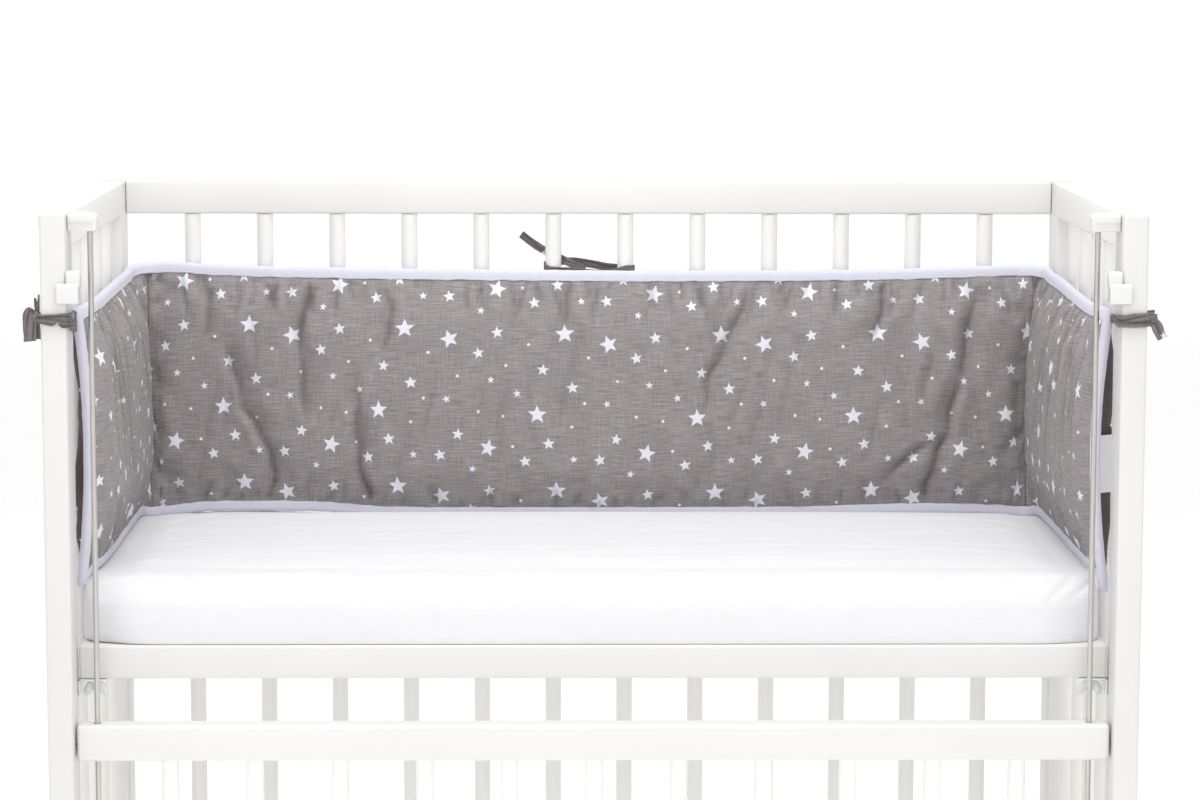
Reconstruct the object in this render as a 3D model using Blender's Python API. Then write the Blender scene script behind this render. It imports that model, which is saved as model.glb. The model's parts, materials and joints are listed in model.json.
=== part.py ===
"""Quilted crib bumper, fitted in a bedside crib with its drop gate lowered.

Metres, +Z up. The origin is on the floor under the middle of the crib. +X runs to the right along
the back of the crib and +Y runs from the open front to the back.
"""

import math

import bmesh
import bpy
from mathutils import Vector

# ---- Driving dimensions ---------------------------------------------------------------------

FIT = 0.0003                    # gap between pieces that touch
WELD = 0.00001

INNER_WIDTH = 0.920             # between the inner faces of the posts
CRIB_DEPTH = 0.470              # front of the front posts to back of the back posts
CRIB_HEIGHT = 0.860
POST_WIDTH = 0.0225
POST_DEPTH = 0.048
RAIL_HEIGHT = 0.033
BACK_RAIL_THICKNESS = 0.018
END_RAIL_THICKNESS = 0.020
BOTTOM_RAIL_UNDERSIDE = 0.090
POST_ROUND = 0.003
RAIL_ROUND = 0.002
CAP_RADIUS = 0.0075             # cover cap of the bolt at the top of each front post
CAP_HEIGHT = 0.0035
CAP_DROP = 0.010                # below the post's top

SPINDLE_RADIUS = 0.008
SPINDLE_SIDES = 12
BACK_SPINDLES = 12
BACK_SPINDLE_PITCH = 0.0717
END_SPINDLES = 4

GATE_PLAY = 0.002               # between the gate's ends and the posts
GATE_SETBACK = 0.011            # gate front behind the front of the posts
GATE_THICKNESS = 0.025
GATE_RAIL_HEIGHT = 0.032
GATE_HEIGHT = 0.385
GATE_TOP_LOWERED = 0.405
GATE_SPINDLES = 11
GATE_SPINDLE_PITCH = 0.0754

ROD_RADIUS = 0.0025
ROD_HOLE_RADIUS = 0.0034
ROD_INSET = 0.019               # rod centre to the inner face of the post
ROD_SIDES = 12
BRACKET_REACH = 0.0255
BRACKET_DEPTH = 0.026
BRACKET_PLATE = 0.0085
BRACKET_BLOCK = 0.0070
FOOT_REACH = 0.027
FOOT_HEIGHT = 0.012

CATCH_LAP = 0.008               # how far the catch laps the front of the post
CATCH_REACH = 0.0117            # and how far it stands inward of the post
CATCH_PROUD = 0.006             # in front of the posts
CATCH_SETBACK = 0.0097          # its back, just in front of the gate
CATCH_TOP_DROP = 0.0608         # top of its body below the post's top
CATCH_BODY_HEIGHT = 0.0175
CATCH_NUB_HEIGHT = 0.0106

BASE_TOP = 0.472
BASE_HEIGHT = 0.030
BASE_DECK = 0.010
BASE_RAIL = 0.020
BASE_PLAY = 0.0015
BASE_SETBACK = 0.038
BAR_WIDTH = 0.026
BAR_THICKNESS = 0.0020
BAR_FLANGE = 0.015
NUT_RADIUS = 0.0045
NUT_HEIGHT = 0.008
WING_LENGTH = 0.0125
WING_WIDTH = 0.0075
WING_THICKNESS = 0.0024
WING_SLANT = math.radians(28.0)
NUT_END_INSET = 0.012           # nut centre from each end of its bar

MATTRESS_WIDTH = 0.912
MATTRESS_DEPTH = 0.400
MATTRESS_HEIGHT = 0.058
MATTRESS_SETBACK = 0.0525
MATTRESS_SHIFT = -0.0015        # it lies a little towards the left end
MATTRESS_BACK_CORNER = 0.030
MATTRESS_FRONT_CORNER = 0.018
MATTRESS_CORNER_STEPS = 4
MATTRESS_SIDE_STEPS = 6
MATTRESS_LONG_STEPS = 16
MATTRESS_BULGE = 0.0115         # how far its front swells forward between the corners

# ---- Bumper -----------------------------------------------------------------------------------

TAPE = 0.0011                   # thickness of the binding
TAPE_FOLD = 0.0105              # width of the binding on each face
EDGE_HALF = 0.0040              # half of the bound edge's thickness
TONGUE_HALF = EDGE_HALF - TAPE - FIT
TONGUE_INSET = TAPE + 2 * FIT   # tongue edge behind the binding's outer edge
SHOULDER = TAPE_FOLD + FIT      # where the full pad starts

LEG_LINE = 0.4540               # middle line of the end panels, at their top edge
BACK_LINE = CRIB_DEPTH / 2 - 0.0233
FRONT_LINE = -CRIB_DEPTH / 2 + 0.0503
CORNER_RADIUS = 0.030
CORNER_STEPS = 4
STATION_PITCH = 0.0165
CREASE_WIDTH = 0.014            # reach of the sharp crease in each corner
INNER_ROWS = 9
OUTER_ROWS = 6

TIE_THICKNESS = 0.0011
TIE_DROP = 0.0935               # middle of the post ties below the post's top
TIE_REACH = 0.4990              # outer end of the free ends
BACK_TIE_DROP = 0.0865

LABEL_LOW = 0.0755              # above the mattress
LABEL_HIGH = 0.1275
LABEL_THICKNESS = 0.0008
LABEL_RETURN = 0.018

# ---- Worked out from the above ------------------------------------------------------------------

INNER = INNER_WIDTH / 2
OUTER = INNER + POST_WIDTH
FRONT = -CRIB_DEPTH / 2
BACK = CRIB_DEPTH / 2
ROD_LINE = FRONT + GATE_SETBACK + GATE_THICKNESS / 2
MATTRESS_TOP = BASE_TOP + FIT + MATTRESS_HEIGHT
LEG_LENGTH = BACK_LINE - CORNER_RADIUS - FRONT_LINE
ARC_LENGTH = math.pi / 2 * CORNER_RADIUS
BACK_LENGTH = 2 * (LEG_LINE - CORNER_RADIUS)
PAD_LENGTH = 2 * LEG_LENGTH + 2 * ARC_LENGTH + BACK_LENGTH


def on_left(depth):
    """Distance along the pad of a place on its left end panel, DEPTH behind the crib's front."""
    return FRONT + depth - FRONT_LINE


def on_back(x):
    """Distance along the pad of a place on its back panel."""
    return LEG_LENGTH + ARC_LENGTH + x + LEG_LINE - CORNER_RADIUS


def on_right(depth):
    """Distance along the pad of a place on its right end panel, DEPTH behind the crib's front."""
    return PAD_LENGTH - on_left(depth)


LEFT_CORNER = LEG_LENGTH + ARC_LENGTH / 2
RIGHT_CORNER = PAD_LENGTH - LEFT_CORNER

# A row for each measured section of the pad. top and bottom are the edges' heights above the
# mattress; in_top, in_mid and in_low are how far the middle line stands inward of its plan;
# inner and outer are how far the filling swells each face beyond the bound edge.
SECTION_COLUMNS = ("along", "top", "bottom", "in_top", "in_mid", "in_low", "inner", "outer")
SECTIONS = (
    (on_left(0.0503), 0.2415, -0.0060, -0.0052, 0.0044, -0.0046, 0.0010, 0.0065),
    (on_left(0.0640), 0.2418, -0.0026, -0.0042, 0.0042, -0.0034, 0.0034, 0.0095),
    (on_left(0.0740), 0.2420, -0.0004, -0.0034, 0.0040, -0.0006, 0.0062, 0.0092),
    (on_left(0.0860), 0.2424, 0.0006, -0.0020, 0.0036, 0.0026, 0.0088, 0.0070),
    (on_left(0.1120), 0.2428, 0.0008, 0.0004, 0.0030, 0.0060, 0.0118, 0.0020),
    (on_left(0.1800), 0.2422, 0.0008, 0.0004, 0.0030, 0.0078, 0.0128, 0.0018),
    (on_left(0.2800), 0.2438, 0.0008, 0.0004, 0.0034, 0.0078, 0.0132, 0.0018),
    (on_left(0.3600), 0.2448, 0.0008, 0.0004, 0.0034, 0.0078, 0.0128, 0.0018),
    (on_left(0.4000), 0.2452, 0.0005, 0.0004, 0.0026, 0.0085, 0.0125, 0.0018),
    (LEFT_CORNER, 0.2490, -0.0042, 0.0006, 0.0030, 0.0115, 0.0110, 0.0012),
    (on_back(-0.4080), 0.2498, -0.0024, 0.0004, 0.0026, 0.0092, 0.0120, 0.0018),
    (on_back(-0.3850), 0.2478, 0.0002, 0.0004, 0.0024, 0.0080, 0.0122, 0.0018),
    (on_back(-0.3300), 0.2456, 0.0008, 0.0004, 0.0024, 0.0080, 0.0124, 0.0018),
    (on_back(-0.2600), 0.2442, -0.0002, 0.0004, 0.0024, 0.0080, 0.0124, 0.0018),
    (on_back(-0.2000), 0.2431, -0.0050, 0.0004, 0.0024, 0.0080, 0.0124, 0.0018),
    (on_back(-0.0900), 0.2421, -0.0056, 0.0004, 0.0024, 0.0080, 0.0122, 0.0018),
    (on_back(0.0300), 0.2411, -0.0056, 0.0004, 0.0024, 0.0080, 0.0122, 0.0018),
    (on_back(0.1200), 0.2412, -0.0056, 0.0004, 0.0024, 0.0080, 0.0124, 0.0018),
    (on_back(0.2100), 0.2417, -0.0050, 0.0004, 0.0024, 0.0080, 0.0126, 0.0018),
    (on_back(0.3100), 0.2433, -0.0022, 0.0004, 0.0024, 0.0080, 0.0126, 0.0018),
    (on_back(0.3850), 0.2458, -0.0022, 0.0004, 0.0024, 0.0080, 0.0124, 0.0018),
    (on_back(0.4080), 0.2466, -0.0034, 0.0004, 0.0026, 0.0092, 0.0120, 0.0018),
    (RIGHT_CORNER, 0.2472, -0.0042, 0.0006, 0.0030, 0.0105, 0.0110, 0.0012),
    (on_right(0.4000), 0.2446, 0.0005, 0.0004, 0.0026, 0.0065, 0.0125, 0.0018),
    (on_right(0.3250), 0.2441, 0.0008, 0.0004, 0.0030, 0.0045, 0.0130, 0.0018),
    (on_right(0.2400), 0.2418, 0.0008, 0.0004, 0.0030, 0.0036, 0.0130, 0.0018),
    (on_right(0.1450), 0.2400, 0.0008, 0.0004, 0.0032, 0.0034, 0.0122, 0.0018),
    (on_right(0.1120), 0.2408, 0.0006, 0.0002, 0.0036, 0.0024, 0.0112, 0.0022),
    (on_right(0.0860), 0.2416, 0.0002, -0.0018, 0.0044, 0.0012, 0.0080, 0.0080),
    (on_right(0.0740), 0.2416, -0.0036, -0.0028, 0.0048, -0.0020, 0.0056, 0.0100),
    (on_right(0.0640), 0.2416, -0.0112, -0.0036, 0.0050, -0.0038, 0.0030, 0.0110),
    (on_right(0.0503), 0.2410, -0.0165, -0.0044, 0.0050, -0.0044, 0.0010, 0.0078),
)

# A row for each main fold of the inner cloth: its upper and lower end (distance along the pad,
# height above the mattress), how deep the trough is and how far it reaches to each side.
FOLDS = (
    (on_back(-0.372), 0.229, on_back(-0.379), 0.200, 0.0030, 0.009),
    (on_back(-0.342), 0.190, on_back(-0.345), 0.112, 0.0035, 0.013),
    (on_back(-0.345), 0.112, on_back(-0.313), 0.034, 0.0050, 0.012),
    (on_back(-0.277), 0.232, on_back(-0.281), 0.150, 0.0055, 0.012),
    (on_back(-0.281), 0.150, on_back(-0.289), 0.078, 0.0030, 0.014),
    (on_back(-0.226), 0.063, on_back(-0.225), 0.014, 0.0045, 0.010),
    (on_back(-0.195), 0.200, on_back(-0.198), 0.166, 0.0025, 0.010),
    (on_back(-0.108), 0.226, on_back(-0.109), 0.205, 0.0025, 0.009),
    (on_back(-0.023), 0.231, on_back(-0.024), 0.182, 0.0030, 0.010),
    (on_back(0.155), 0.225, on_back(0.121), 0.164, 0.0035, 0.012),
    (on_back(0.140), 0.211, on_back(0.114), 0.110, 0.0025, 0.014),
    (on_back(0.294), 0.230, on_back(0.281), 0.170, 0.0050, 0.011),
    (on_back(0.384), 0.225, on_back(0.364), 0.131, 0.0045, 0.012),
    (on_back(0.364), 0.131, on_back(0.352), 0.078, 0.0055, 0.011),
    (on_back(0.352), 0.078, on_back(0.328), 0.016, 0.0050, 0.012),
    (on_left(0.110), 0.225, on_left(0.150), 0.165, 0.0030, 0.013),
    (on_left(0.200), 0.228, on_left(0.230), 0.150, 0.0035, 0.013),
    (on_left(0.300), 0.226, on_left(0.310), 0.090, 0.0035, 0.014),
    (on_left(0.120), 0.060, on_left(0.150), 0.015, 0.0030, 0.013),
    (on_right(0.110), 0.224, on_right(0.140), 0.160, 0.0035, 0.013),
    (on_right(0.190), 0.224, on_right(0.210), 0.150, 0.0035, 0.012),
    (on_right(0.280), 0.226, on_right(0.290), 0.120, 0.0035, 0.013),
    (on_right(0.160), 0.070, on_right(0.190), 0.016, 0.0030, 0.013),
)


# ---- Materials --------------------------------------------------------------------------------

def make_material(name, colour, roughness, metallic=0.0):
    """A plain Principled material."""
    material = bpy.data.materials.new(name)
    material.use_nodes = True
    shader = material.node_tree.nodes["Principled BSDF"]
    shader.inputs["Base Color"].default_value = (*colour, 1.0)
    shader.inputs["Roughness"].default_value = roughness
    shader.inputs["Metallic"].default_value = metallic
    return material


def make_materials():
    """Every finish of the part, by name."""
    return {
        "painted_wood": make_material("painted_wood", (0.90, 0.89, 0.86), 0.42),
        "white_plastic": make_material("white_plastic", (0.92, 0.92, 0.90), 0.35),
        "steel": make_material("steel", (0.58, 0.55, 0.50), 0.35, 1.0),
        "mattress_cover": make_material("mattress_cover", (0.90, 0.90, 0.91), 0.90),
        "printed_cotton": make_material("printed_cotton", (0.26, 0.235, 0.225), 0.92),
        "binding_cotton": make_material("binding_cotton", (0.76, 0.75, 0.86), 0.88),
        "tie_cotton": make_material("tie_cotton", (0.17, 0.145, 0.135), 0.92),
        "label_ribbon": make_material("label_ribbon", (0.84, 0.84, 0.84), 0.80),
    }


# ---- Shared modelling tools ---------------------------------------------------------------------

def add_object(name, mesh_source, material, smooth_angle=None):
    """Turn a bmesh into a named object of the scene."""
    mesh = bpy.data.meshes.new(name)
    mesh_source.to_mesh(mesh)
    mesh_source.free()
    mesh.materials.append(material)
    if smooth_angle is not None:
        mesh.shade_smooth()
        mesh.set_sharp_from_angle(angle=math.radians(smooth_angle))
    piece = bpy.data.objects.new(name, mesh)
    bpy.context.scene.collection.objects.link(piece)
    return piece


def box_mesh(low, high):
    """A bmesh box between two corners."""
    solid = bmesh.new()
    bmesh.ops.create_cube(solid, size=1.0)
    size = Vector(high) - Vector(low)
    bmesh.ops.scale(solid, vec=size, verts=solid.verts)
    bmesh.ops.translate(solid, vec=(Vector(high) + Vector(low)) / 2, verts=solid.verts)
    return solid


def round_edges(solid, radius, along=None, steps=2):
    """Round a bmesh box's edges: all of them, or only those that run along one axis."""
    chosen = []
    for edge in solid.edges:
        run = edge.verts[1].co - edge.verts[0].co
        if along is None or abs(run.normalized()[along]) > 0.99:
            chosen.append(edge)
    bmesh.ops.bevel(
        solid, geom=chosen, offset=radius, offset_type="OFFSET", segments=steps,
        profile=0.5, affect="EDGES", material=-1, clamp_overlap=True,
    )


def add_bar(name, low, high, along, radius, material):
    """A straight rail whose long edges are rounded."""
    solid = box_mesh(low, high)
    round_edges(solid, radius, along)
    return add_object(name, solid, material, 40)


def cylinder_mesh(centre, radius, low, high, sides, axis=2):
    """A bmesh cylinder along one axis, between two levels of it."""
    solid = bmesh.new()
    bmesh.ops.create_cone(
        solid, cap_ends=True, segments=sides, radius1=radius, radius2=radius, depth=high - low,
    )
    if axis == 0:
        for vert in solid.verts:
            vert.co = Vector((vert.co.z, vert.co.x, vert.co.y))
    place = Vector(centre)
    place[axis] = (low + high) / 2
    bmesh.ops.translate(solid, vec=place, verts=solid.verts)
    bmesh.ops.recalc_face_normals(solid, faces=solid.faces[:])
    return solid


def add_spindle(name, x, y, low, high, material):
    """An upright round bar between two rails."""
    solid = cylinder_mesh((x, y, 0.0), SPINDLE_RADIUS, low + FIT, high - FIT, SPINDLE_SIDES)
    return add_object(name, solid, material, 40)


def as_tool(piece):
    """Keep a helper object out of the finished part."""
    piece.hide_render = True
    piece.display_type = "WIRE"
    return piece


def combine(piece, tool, operation):
    """Cut a helper object from a piece, or weld it on."""
    as_tool(tool)
    step = piece.modifiers.new(operation.title(), "BOOLEAN")
    step.operation = operation
    step.solver = "EXACT"
    step.object = tool
    return piece


def skin_mesh(columns, rows, place):
    """A closed skin: a grid whose points PLACE puts in space, welded and with its ends filled."""
    solid = bmesh.new()
    bmesh.ops.create_grid(solid, x_segments=columns, y_segments=rows, size=1.0)
    for vert in solid.verts:
        column = round((vert.co.x + 1.0) / 2.0 * columns)
        row = round((vert.co.y + 1.0) / 2.0 * rows)
        vert.co = place(column, row)
    bmesh.ops.remove_doubles(solid, verts=solid.verts[:], dist=WELD)
    rim = [edge for edge in solid.edges if edge.is_boundary]
    if rim:
        bmesh.ops.holes_fill(solid, edges=rim, sides=0)
    bmesh.ops.recalc_face_normals(solid, faces=solid.faces[:])
    return solid


def strip_mesh(route):
    """A flat strip of cloth. A route row: centre, direction across, width, thickness."""
    count = len(route) - 1
    corners = ((-1, -1), (1, -1), (1, 1), (-1, 1))

    def place(column, row):
        centre, across, width, thickness = route[column]
        ahead = Vector(route[min(column + 1, count)][0]) - Vector(route[max(column - 1, 0)][0])
        across = Vector(across).normalized()
        face = ahead.normalized().cross(across).normalized()
        side, level = corners[row % len(corners)]
        return Vector(centre) + across * (side * width / 2) + face * (level * thickness / 2)

    return skin_mesh(count, len(corners), place)


def curve_value(rows, column, along):
    """A smooth curve through one column of a table whose first column is the place."""
    last = len(rows) - 1
    if along <= rows[0][0]:
        return rows[0][column]
    if along >= rows[last][0]:
        return rows[last][column]
    index = 0
    while rows[index + 1][0] < along:
        index += 1
    before, start = rows[max(index - 1, 0)], rows[index]
    end, after = rows[index + 1], rows[min(index + 2, last)]
    span = end[0] - start[0]
    share = (along - start[0]) / span
    leave = (end[column] - before[column]) / max(end[0] - before[0], WELD) * span
    arrive = (after[column] - start[column]) / max(after[0] - start[0], WELD) * span
    return (
        (2 * share**3 - 3 * share**2 + 1) * start[column]
        + (share**3 - 2 * share**2 + share) * leave
        + (3 * share**2 - 2 * share**3) * end[column]
        + (share**3 - share**2) * arrive
    )


# ---- Crib frame ---------------------------------------------------------------------------------

def add_posts(materials):
    """Four corner posts; the front ones carry a bolt's cover cap on their outer side."""
    wood = materials["painted_wood"]
    for side, side_name in ((-1, "left"), (1, "right")):
        x_low, x_high = sorted((side * INNER, side * OUTER))
        for depth_name, y_low in (("front", FRONT), ("back", BACK - POST_DEPTH)):
            solid = box_mesh((x_low, y_low, 0.0), (x_high, y_low + POST_DEPTH, CRIB_HEIGHT))
            round_edges(solid, POST_ROUND)
            post = add_object(f"post_{depth_name}_{side_name}", solid, wood, 40)
            if depth_name == "front":
                low, high = sorted((side * (OUTER - CAP_HEIGHT), side * (OUTER + CAP_HEIGHT)))
                centre = (0.0, y_low + POST_DEPTH / 2, CRIB_HEIGHT - CAP_DROP)
                cap = cylinder_mesh(centre, CAP_RADIUS, low, high, 16, axis=0)
                combine(post, add_object(f"cap_{side_name}_tool", cap, wood), "UNION")


def add_end_frames(materials):
    """Top and bottom rail and spindles of the two ends."""
    wood = materials["painted_wood"]
    y_low = FRONT + POST_DEPTH + FIT
    y_high = BACK - POST_DEPTH - FIT
    pitch = (BACK - FRONT - 2 * POST_DEPTH) / (END_SPINDLES + 1)
    top_low = CRIB_HEIGHT - RAIL_HEIGHT
    bottom_high = BOTTOM_RAIL_UNDERSIDE + RAIL_HEIGHT
    for side, side_name in ((-1, "left"), (1, "right")):
        x_low, x_high = sorted((side * INNER, side * (INNER + END_RAIL_THICKNESS)))
        for level, z_low in (("top", top_low), ("bottom", BOTTOM_RAIL_UNDERSIDE)):
            add_bar(
                f"end_rail_{level}_{side_name}", (x_low, y_low, z_low),
                (x_high, y_high, z_low + RAIL_HEIGHT), 1, RAIL_ROUND, wood,
            )
        for number in range(END_SPINDLES):
            add_spindle(
                f"end_spindle_{side_name}_{number + 1}", side * (INNER + END_RAIL_THICKNESS / 2),
                FRONT + POST_DEPTH + pitch * (number + 1), bottom_high, top_low, wood,
            )


def add_back_frame(materials):
    """Top and bottom rail and spindles of the back."""
    wood = materials["painted_wood"]
    y_low = BACK - BACK_RAIL_THICKNESS
    top_low = CRIB_HEIGHT - RAIL_HEIGHT
    for level, z_low in (("top", top_low), ("bottom", BOTTOM_RAIL_UNDERSIDE)):
        add_bar(
            f"back_rail_{level}", (-INNER + FIT, y_low, z_low),
            (INNER - FIT, BACK, z_low + RAIL_HEIGHT), 0, RAIL_ROUND, wood,
        )
    for number in range(BACK_SPINDLES):
        add_spindle(
            f"back_spindle_{number + 1:02d}", back_spindle_x(number), BACK - BACK_RAIL_THICKNESS / 2,
            BOTTOM_RAIL_UNDERSIDE + RAIL_HEIGHT, top_low, wood,
        )


def back_spindle_x(number):
    """Where back spindle NUMBER stands, counted from 0 at the left."""
    return (number - (BACK_SPINDLES - 1) / 2) * BACK_SPINDLE_PITCH


def add_gate(materials):
    """The drop gate, lowered: two bored rails and their spindles."""
    wood = materials["painted_wood"]
    half = INNER - GATE_PLAY
    y_low = FRONT + GATE_SETBACK
    y_high = y_low + GATE_THICKNESS
    top_low = GATE_TOP_LOWERED - GATE_RAIL_HEIGHT
    bottom_low = GATE_TOP_LOWERED - GATE_HEIGHT
    for level, z_low in (("top", top_low), ("bottom", bottom_low)):
        z_high = z_low + GATE_RAIL_HEIGHT
        solid = box_mesh((-half, y_low, z_low), (half, y_high, z_high))
        round_edges(solid, POST_ROUND)
        rail = add_object(f"gate_rail_{level}", solid, wood, 40)
        for side, side_name in ((-1, "left"), (1, "right")):
            bore = cylinder_mesh(
                (side * (INNER - ROD_INSET), ROD_LINE, 0.0), ROD_HOLE_RADIUS,
                z_low - GATE_RAIL_HEIGHT, z_high + GATE_RAIL_HEIGHT, ROD_SIDES,
            )
            combine(rail, add_object(f"bore_{level}_{side_name}_tool", bore, wood), "DIFFERENCE")
    for number in range(GATE_SPINDLES):
        x = (number - (GATE_SPINDLES - 1) / 2) * GATE_SPINDLE_PITCH
        add_spindle(
            f"gate_spindle_{number + 1:02d}", x, ROD_LINE,
            bottom_low + GATE_RAIL_HEIGHT, top_low, wood,
        )


def add_rods(materials):
    """Guide rods, each with its foot, and the brackets that hold them at the top."""
    foot_high = GATE_TOP_LOWERED - GATE_HEIGHT - FIT
    bracket_high = CRIB_HEIGHT - 0.001
    bracket_low = bracket_high - BRACKET_PLATE - BRACKET_BLOCK
    for side, side_name in ((-1, "left"), (1, "right")):
        wall = side * (INNER - FIT)
        centre = (side * (INNER - ROD_INSET), ROD_LINE, 0.0)
        rod = cylinder_mesh(centre, ROD_RADIUS, foot_high - 0.004, bracket_low - FIT, ROD_SIDES)
        rod = add_object(f"rod_{side_name}", rod, materials["steel"], 40)
        x_low, x_high = sorted((wall, side * (INNER - FOOT_REACH)))
        foot = box_mesh(
            (x_low, ROD_LINE - GATE_THICKNESS / 2, foot_high - FOOT_HEIGHT),
            (x_high, ROD_LINE + GATE_THICKNESS / 2, foot_high),
        )
        combine(rod, add_object(f"foot_{side_name}_tool", foot, materials["steel"]), "UNION")

        y_low, y_high = ROD_LINE - BRACKET_DEPTH / 2, ROD_LINE + BRACKET_DEPTH / 2
        x_low, x_high = sorted((wall, side * (INNER - BRACKET_REACH)))
        block = box_mesh(
            (x_low, y_low + 0.002, bracket_low), (x_high, y_high - 0.002, bracket_high - 0.002),
        )
        round_edges(block, 0.0012, steps=1)
        bracket = add_object(f"rod_bracket_{side_name}", block, materials["white_plastic"], 40)
        x_low, x_high = sorted((wall, side * (INNER - BRACKET_REACH + 0.002)))
        plate = box_mesh((x_low, y_low, bracket_high - BRACKET_PLATE), (x_high, y_high, bracket_high))
        round_edges(plate, 0.0018, steps=2)
        plate = add_object(f"plate_{side_name}_tool", plate, materials["white_plastic"])
        combine(bracket, plate, "UNION")


def add_catches(materials):
    """The catch on each front post, under which the raised gate's rail would snap."""
    body_high = CRIB_HEIGHT - CATCH_TOP_DROP
    front_low, front_high = FRONT - CATCH_PROUD, FRONT - FIT
    for side, side_name in ((-1, "left"), (1, "right")):
        reach = side * (INNER - CATCH_REACH)
        x_low, x_high = sorted((side * (INNER + CATCH_LAP), reach))
        lap = box_mesh((x_low, front_low, body_high - CATCH_BODY_HEIGHT), (x_high, front_high, body_high))
        round_edges(lap, 0.0016, steps=2)
        catch = add_object(f"catch_{side_name}", lap, materials["white_plastic"], 40)
        x_low, x_high = sorted((side * (INNER - FIT), reach))
        cheek = box_mesh(
            (x_low, front_low + 0.002, body_high - CATCH_BODY_HEIGHT + 0.001),
            (x_high, FRONT + CATCH_SETBACK, body_high - 0.001),
        )
        cheek = add_object(f"cheek_{side_name}_tool", cheek, materials["white_plastic"])
        combine(catch, cheek, "UNION")
        x_low, x_high = sorted((side * (INNER - FIT), side * (INNER - CATCH_REACH - 0.0008)))
        nub = box_mesh(
            (x_low, front_low + 0.003, body_high - 0.004),
            (x_high, FRONT + CATCH_SETBACK, body_high + CATCH_NUB_HEIGHT),
        )
        nub = add_object(f"nub_{side_name}_tool", nub, materials["white_plastic"])
        combine(catch, nub, "UNION")


def add_base(materials):
    """The mattress base: a deck with rails under its rim, on an angle bar at each end."""
    half = INNER - BASE_PLAY
    y_low = FRONT + BASE_SETBACK
    y_high = BACK - BACK_RAIL_THICKNESS - BASE_PLAY
    z_low = BASE_TOP - BASE_HEIGHT
    solid = box_mesh((-half, y_low, z_low), (half, y_high, BASE_TOP))
    round_edges(solid, RAIL_ROUND)
    base = add_object("mattress_base", solid, materials["painted_wood"], 40)
    hollow = box_mesh(
        (-half + BASE_RAIL, y_low + BASE_RAIL, z_low - BASE_HEIGHT),
        (half - BASE_RAIL, y_high - BASE_RAIL, BASE_TOP - BASE_DECK),
    )
    combine(base, add_object("base_hollow_tool", hollow, materials["painted_wood"]), "DIFFERENCE")

    steel = materials["steel"]
    for side, side_name in ((-1, "left"), (1, "right")):
        wall = side * (INNER - FIT)
        bar_high = z_low - FIT
        x_low, x_high = sorted((wall, side * (INNER - BAR_WIDTH)))
        leg = box_mesh((x_low, y_low, bar_high - BAR_THICKNESS), (x_high, y_high, bar_high))
        bar = add_object(f"base_bar_{side_name}", leg, steel, 40)
        x_low, x_high = sorted((wall, side * (INNER - FIT - BAR_THICKNESS)))
        flange = box_mesh((x_low, y_low, bar_high - BAR_FLANGE), (x_high, y_high, bar_high - 0.0005))
        combine(bar, add_object(f"flange_{side_name}_tool", flange, steel), "UNION")
        nut_x = side * (INNER - BAR_WIDTH / 2 - 0.0015)
        for end_name, nut_y in (("front", y_low + NUT_END_INSET), ("back", y_high - NUT_END_INSET)):
            nut = cylinder_mesh(
                (nut_x, nut_y, 0.0), NUT_RADIUS, bar_high - BAR_THICKNESS - NUT_HEIGHT,
                bar_high - BAR_THICKNESS / 2, 8,
            )
            combine(bar, add_object(f"nut_{side_name}_{end_name}_tool", nut, steel), "UNION")
            for wing_side in (-1, 1):
                lean = Vector((wing_side * math.sin(WING_SLANT), 0.0, -math.cos(WING_SLANT)))
                root = Vector((nut_x + wing_side * NUT_RADIUS * 0.7, nut_y,
                               bar_high - BAR_THICKNESS - NUT_HEIGHT * 0.35))
                route = (
                    (root, (math.cos(WING_SLANT), 0, wing_side * math.sin(WING_SLANT)),
                     WING_WIDTH * 0.7, WING_THICKNESS),
                    (root + lean * WING_LENGTH, (math.cos(WING_SLANT), 0, wing_side * math.sin(WING_SLANT)),
                     WING_WIDTH, WING_THICKNESS),
                )
                wing_name = f"wing_{side_name}_{end_name}_{wing_side + 1}_tool"
                combine(bar, add_object(wing_name, strip_mesh(route), steel), "UNION")


# ---- Mattress -----------------------------------------------------------------------------------

# A row for each ring from the underside to the crown: height, inset of the ends and back, inset
# of the front, and how far the filling lifts the ring.
MATTRESS_RINGS = (
    (0.0000, 0.0060, 0.0070, 0.0000),
    (0.0030, 0.0015, 0.0020, 0.0000),
    (0.0100, 0.0000, 0.0000, 0.0000),
    (0.0300, 0.0000, 0.0008, 0.0000),
    (0.0420, 0.0006, 0.0040, 0.0000),
    (0.0510, 0.0014, 0.0105, 0.0000),
    (0.0560, 0.0034, 0.0185, 0.0000),
    (0.0580, 0.0068, 0.0290, 0.0000),
    (0.0582, 0.0270, 0.0420, 0.0000),
    (0.0584, 0.0400, 0.0580, 0.0034),
    (0.0586, 0.0620, 0.0820, 0.0058),
    (0.0590, 0.1300, 0.1300, 0.0068),
)
# Where the pad's lower edge sinks into the back of the mattress: x, how deep.
MATTRESS_DENTS = (
    (-0.4600, 0.0062), (-0.4240, 0.0060), (-0.3950, 0.0022), (-0.3700, 0.0004), (-0.3100, 0.0004),
    (-0.2550, 0.0022), (-0.2050, 0.0062), (-0.1500, 0.0066), (0.1500, 0.0066), (0.2300, 0.0060),
    (0.3000, 0.0038), (0.3800, 0.0036), (0.4100, 0.0050), (0.4600, 0.0062),
)
DENT_REACH = (0.0275, 0.0395)   # full up to the first inset from the back, gone at the second


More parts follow.
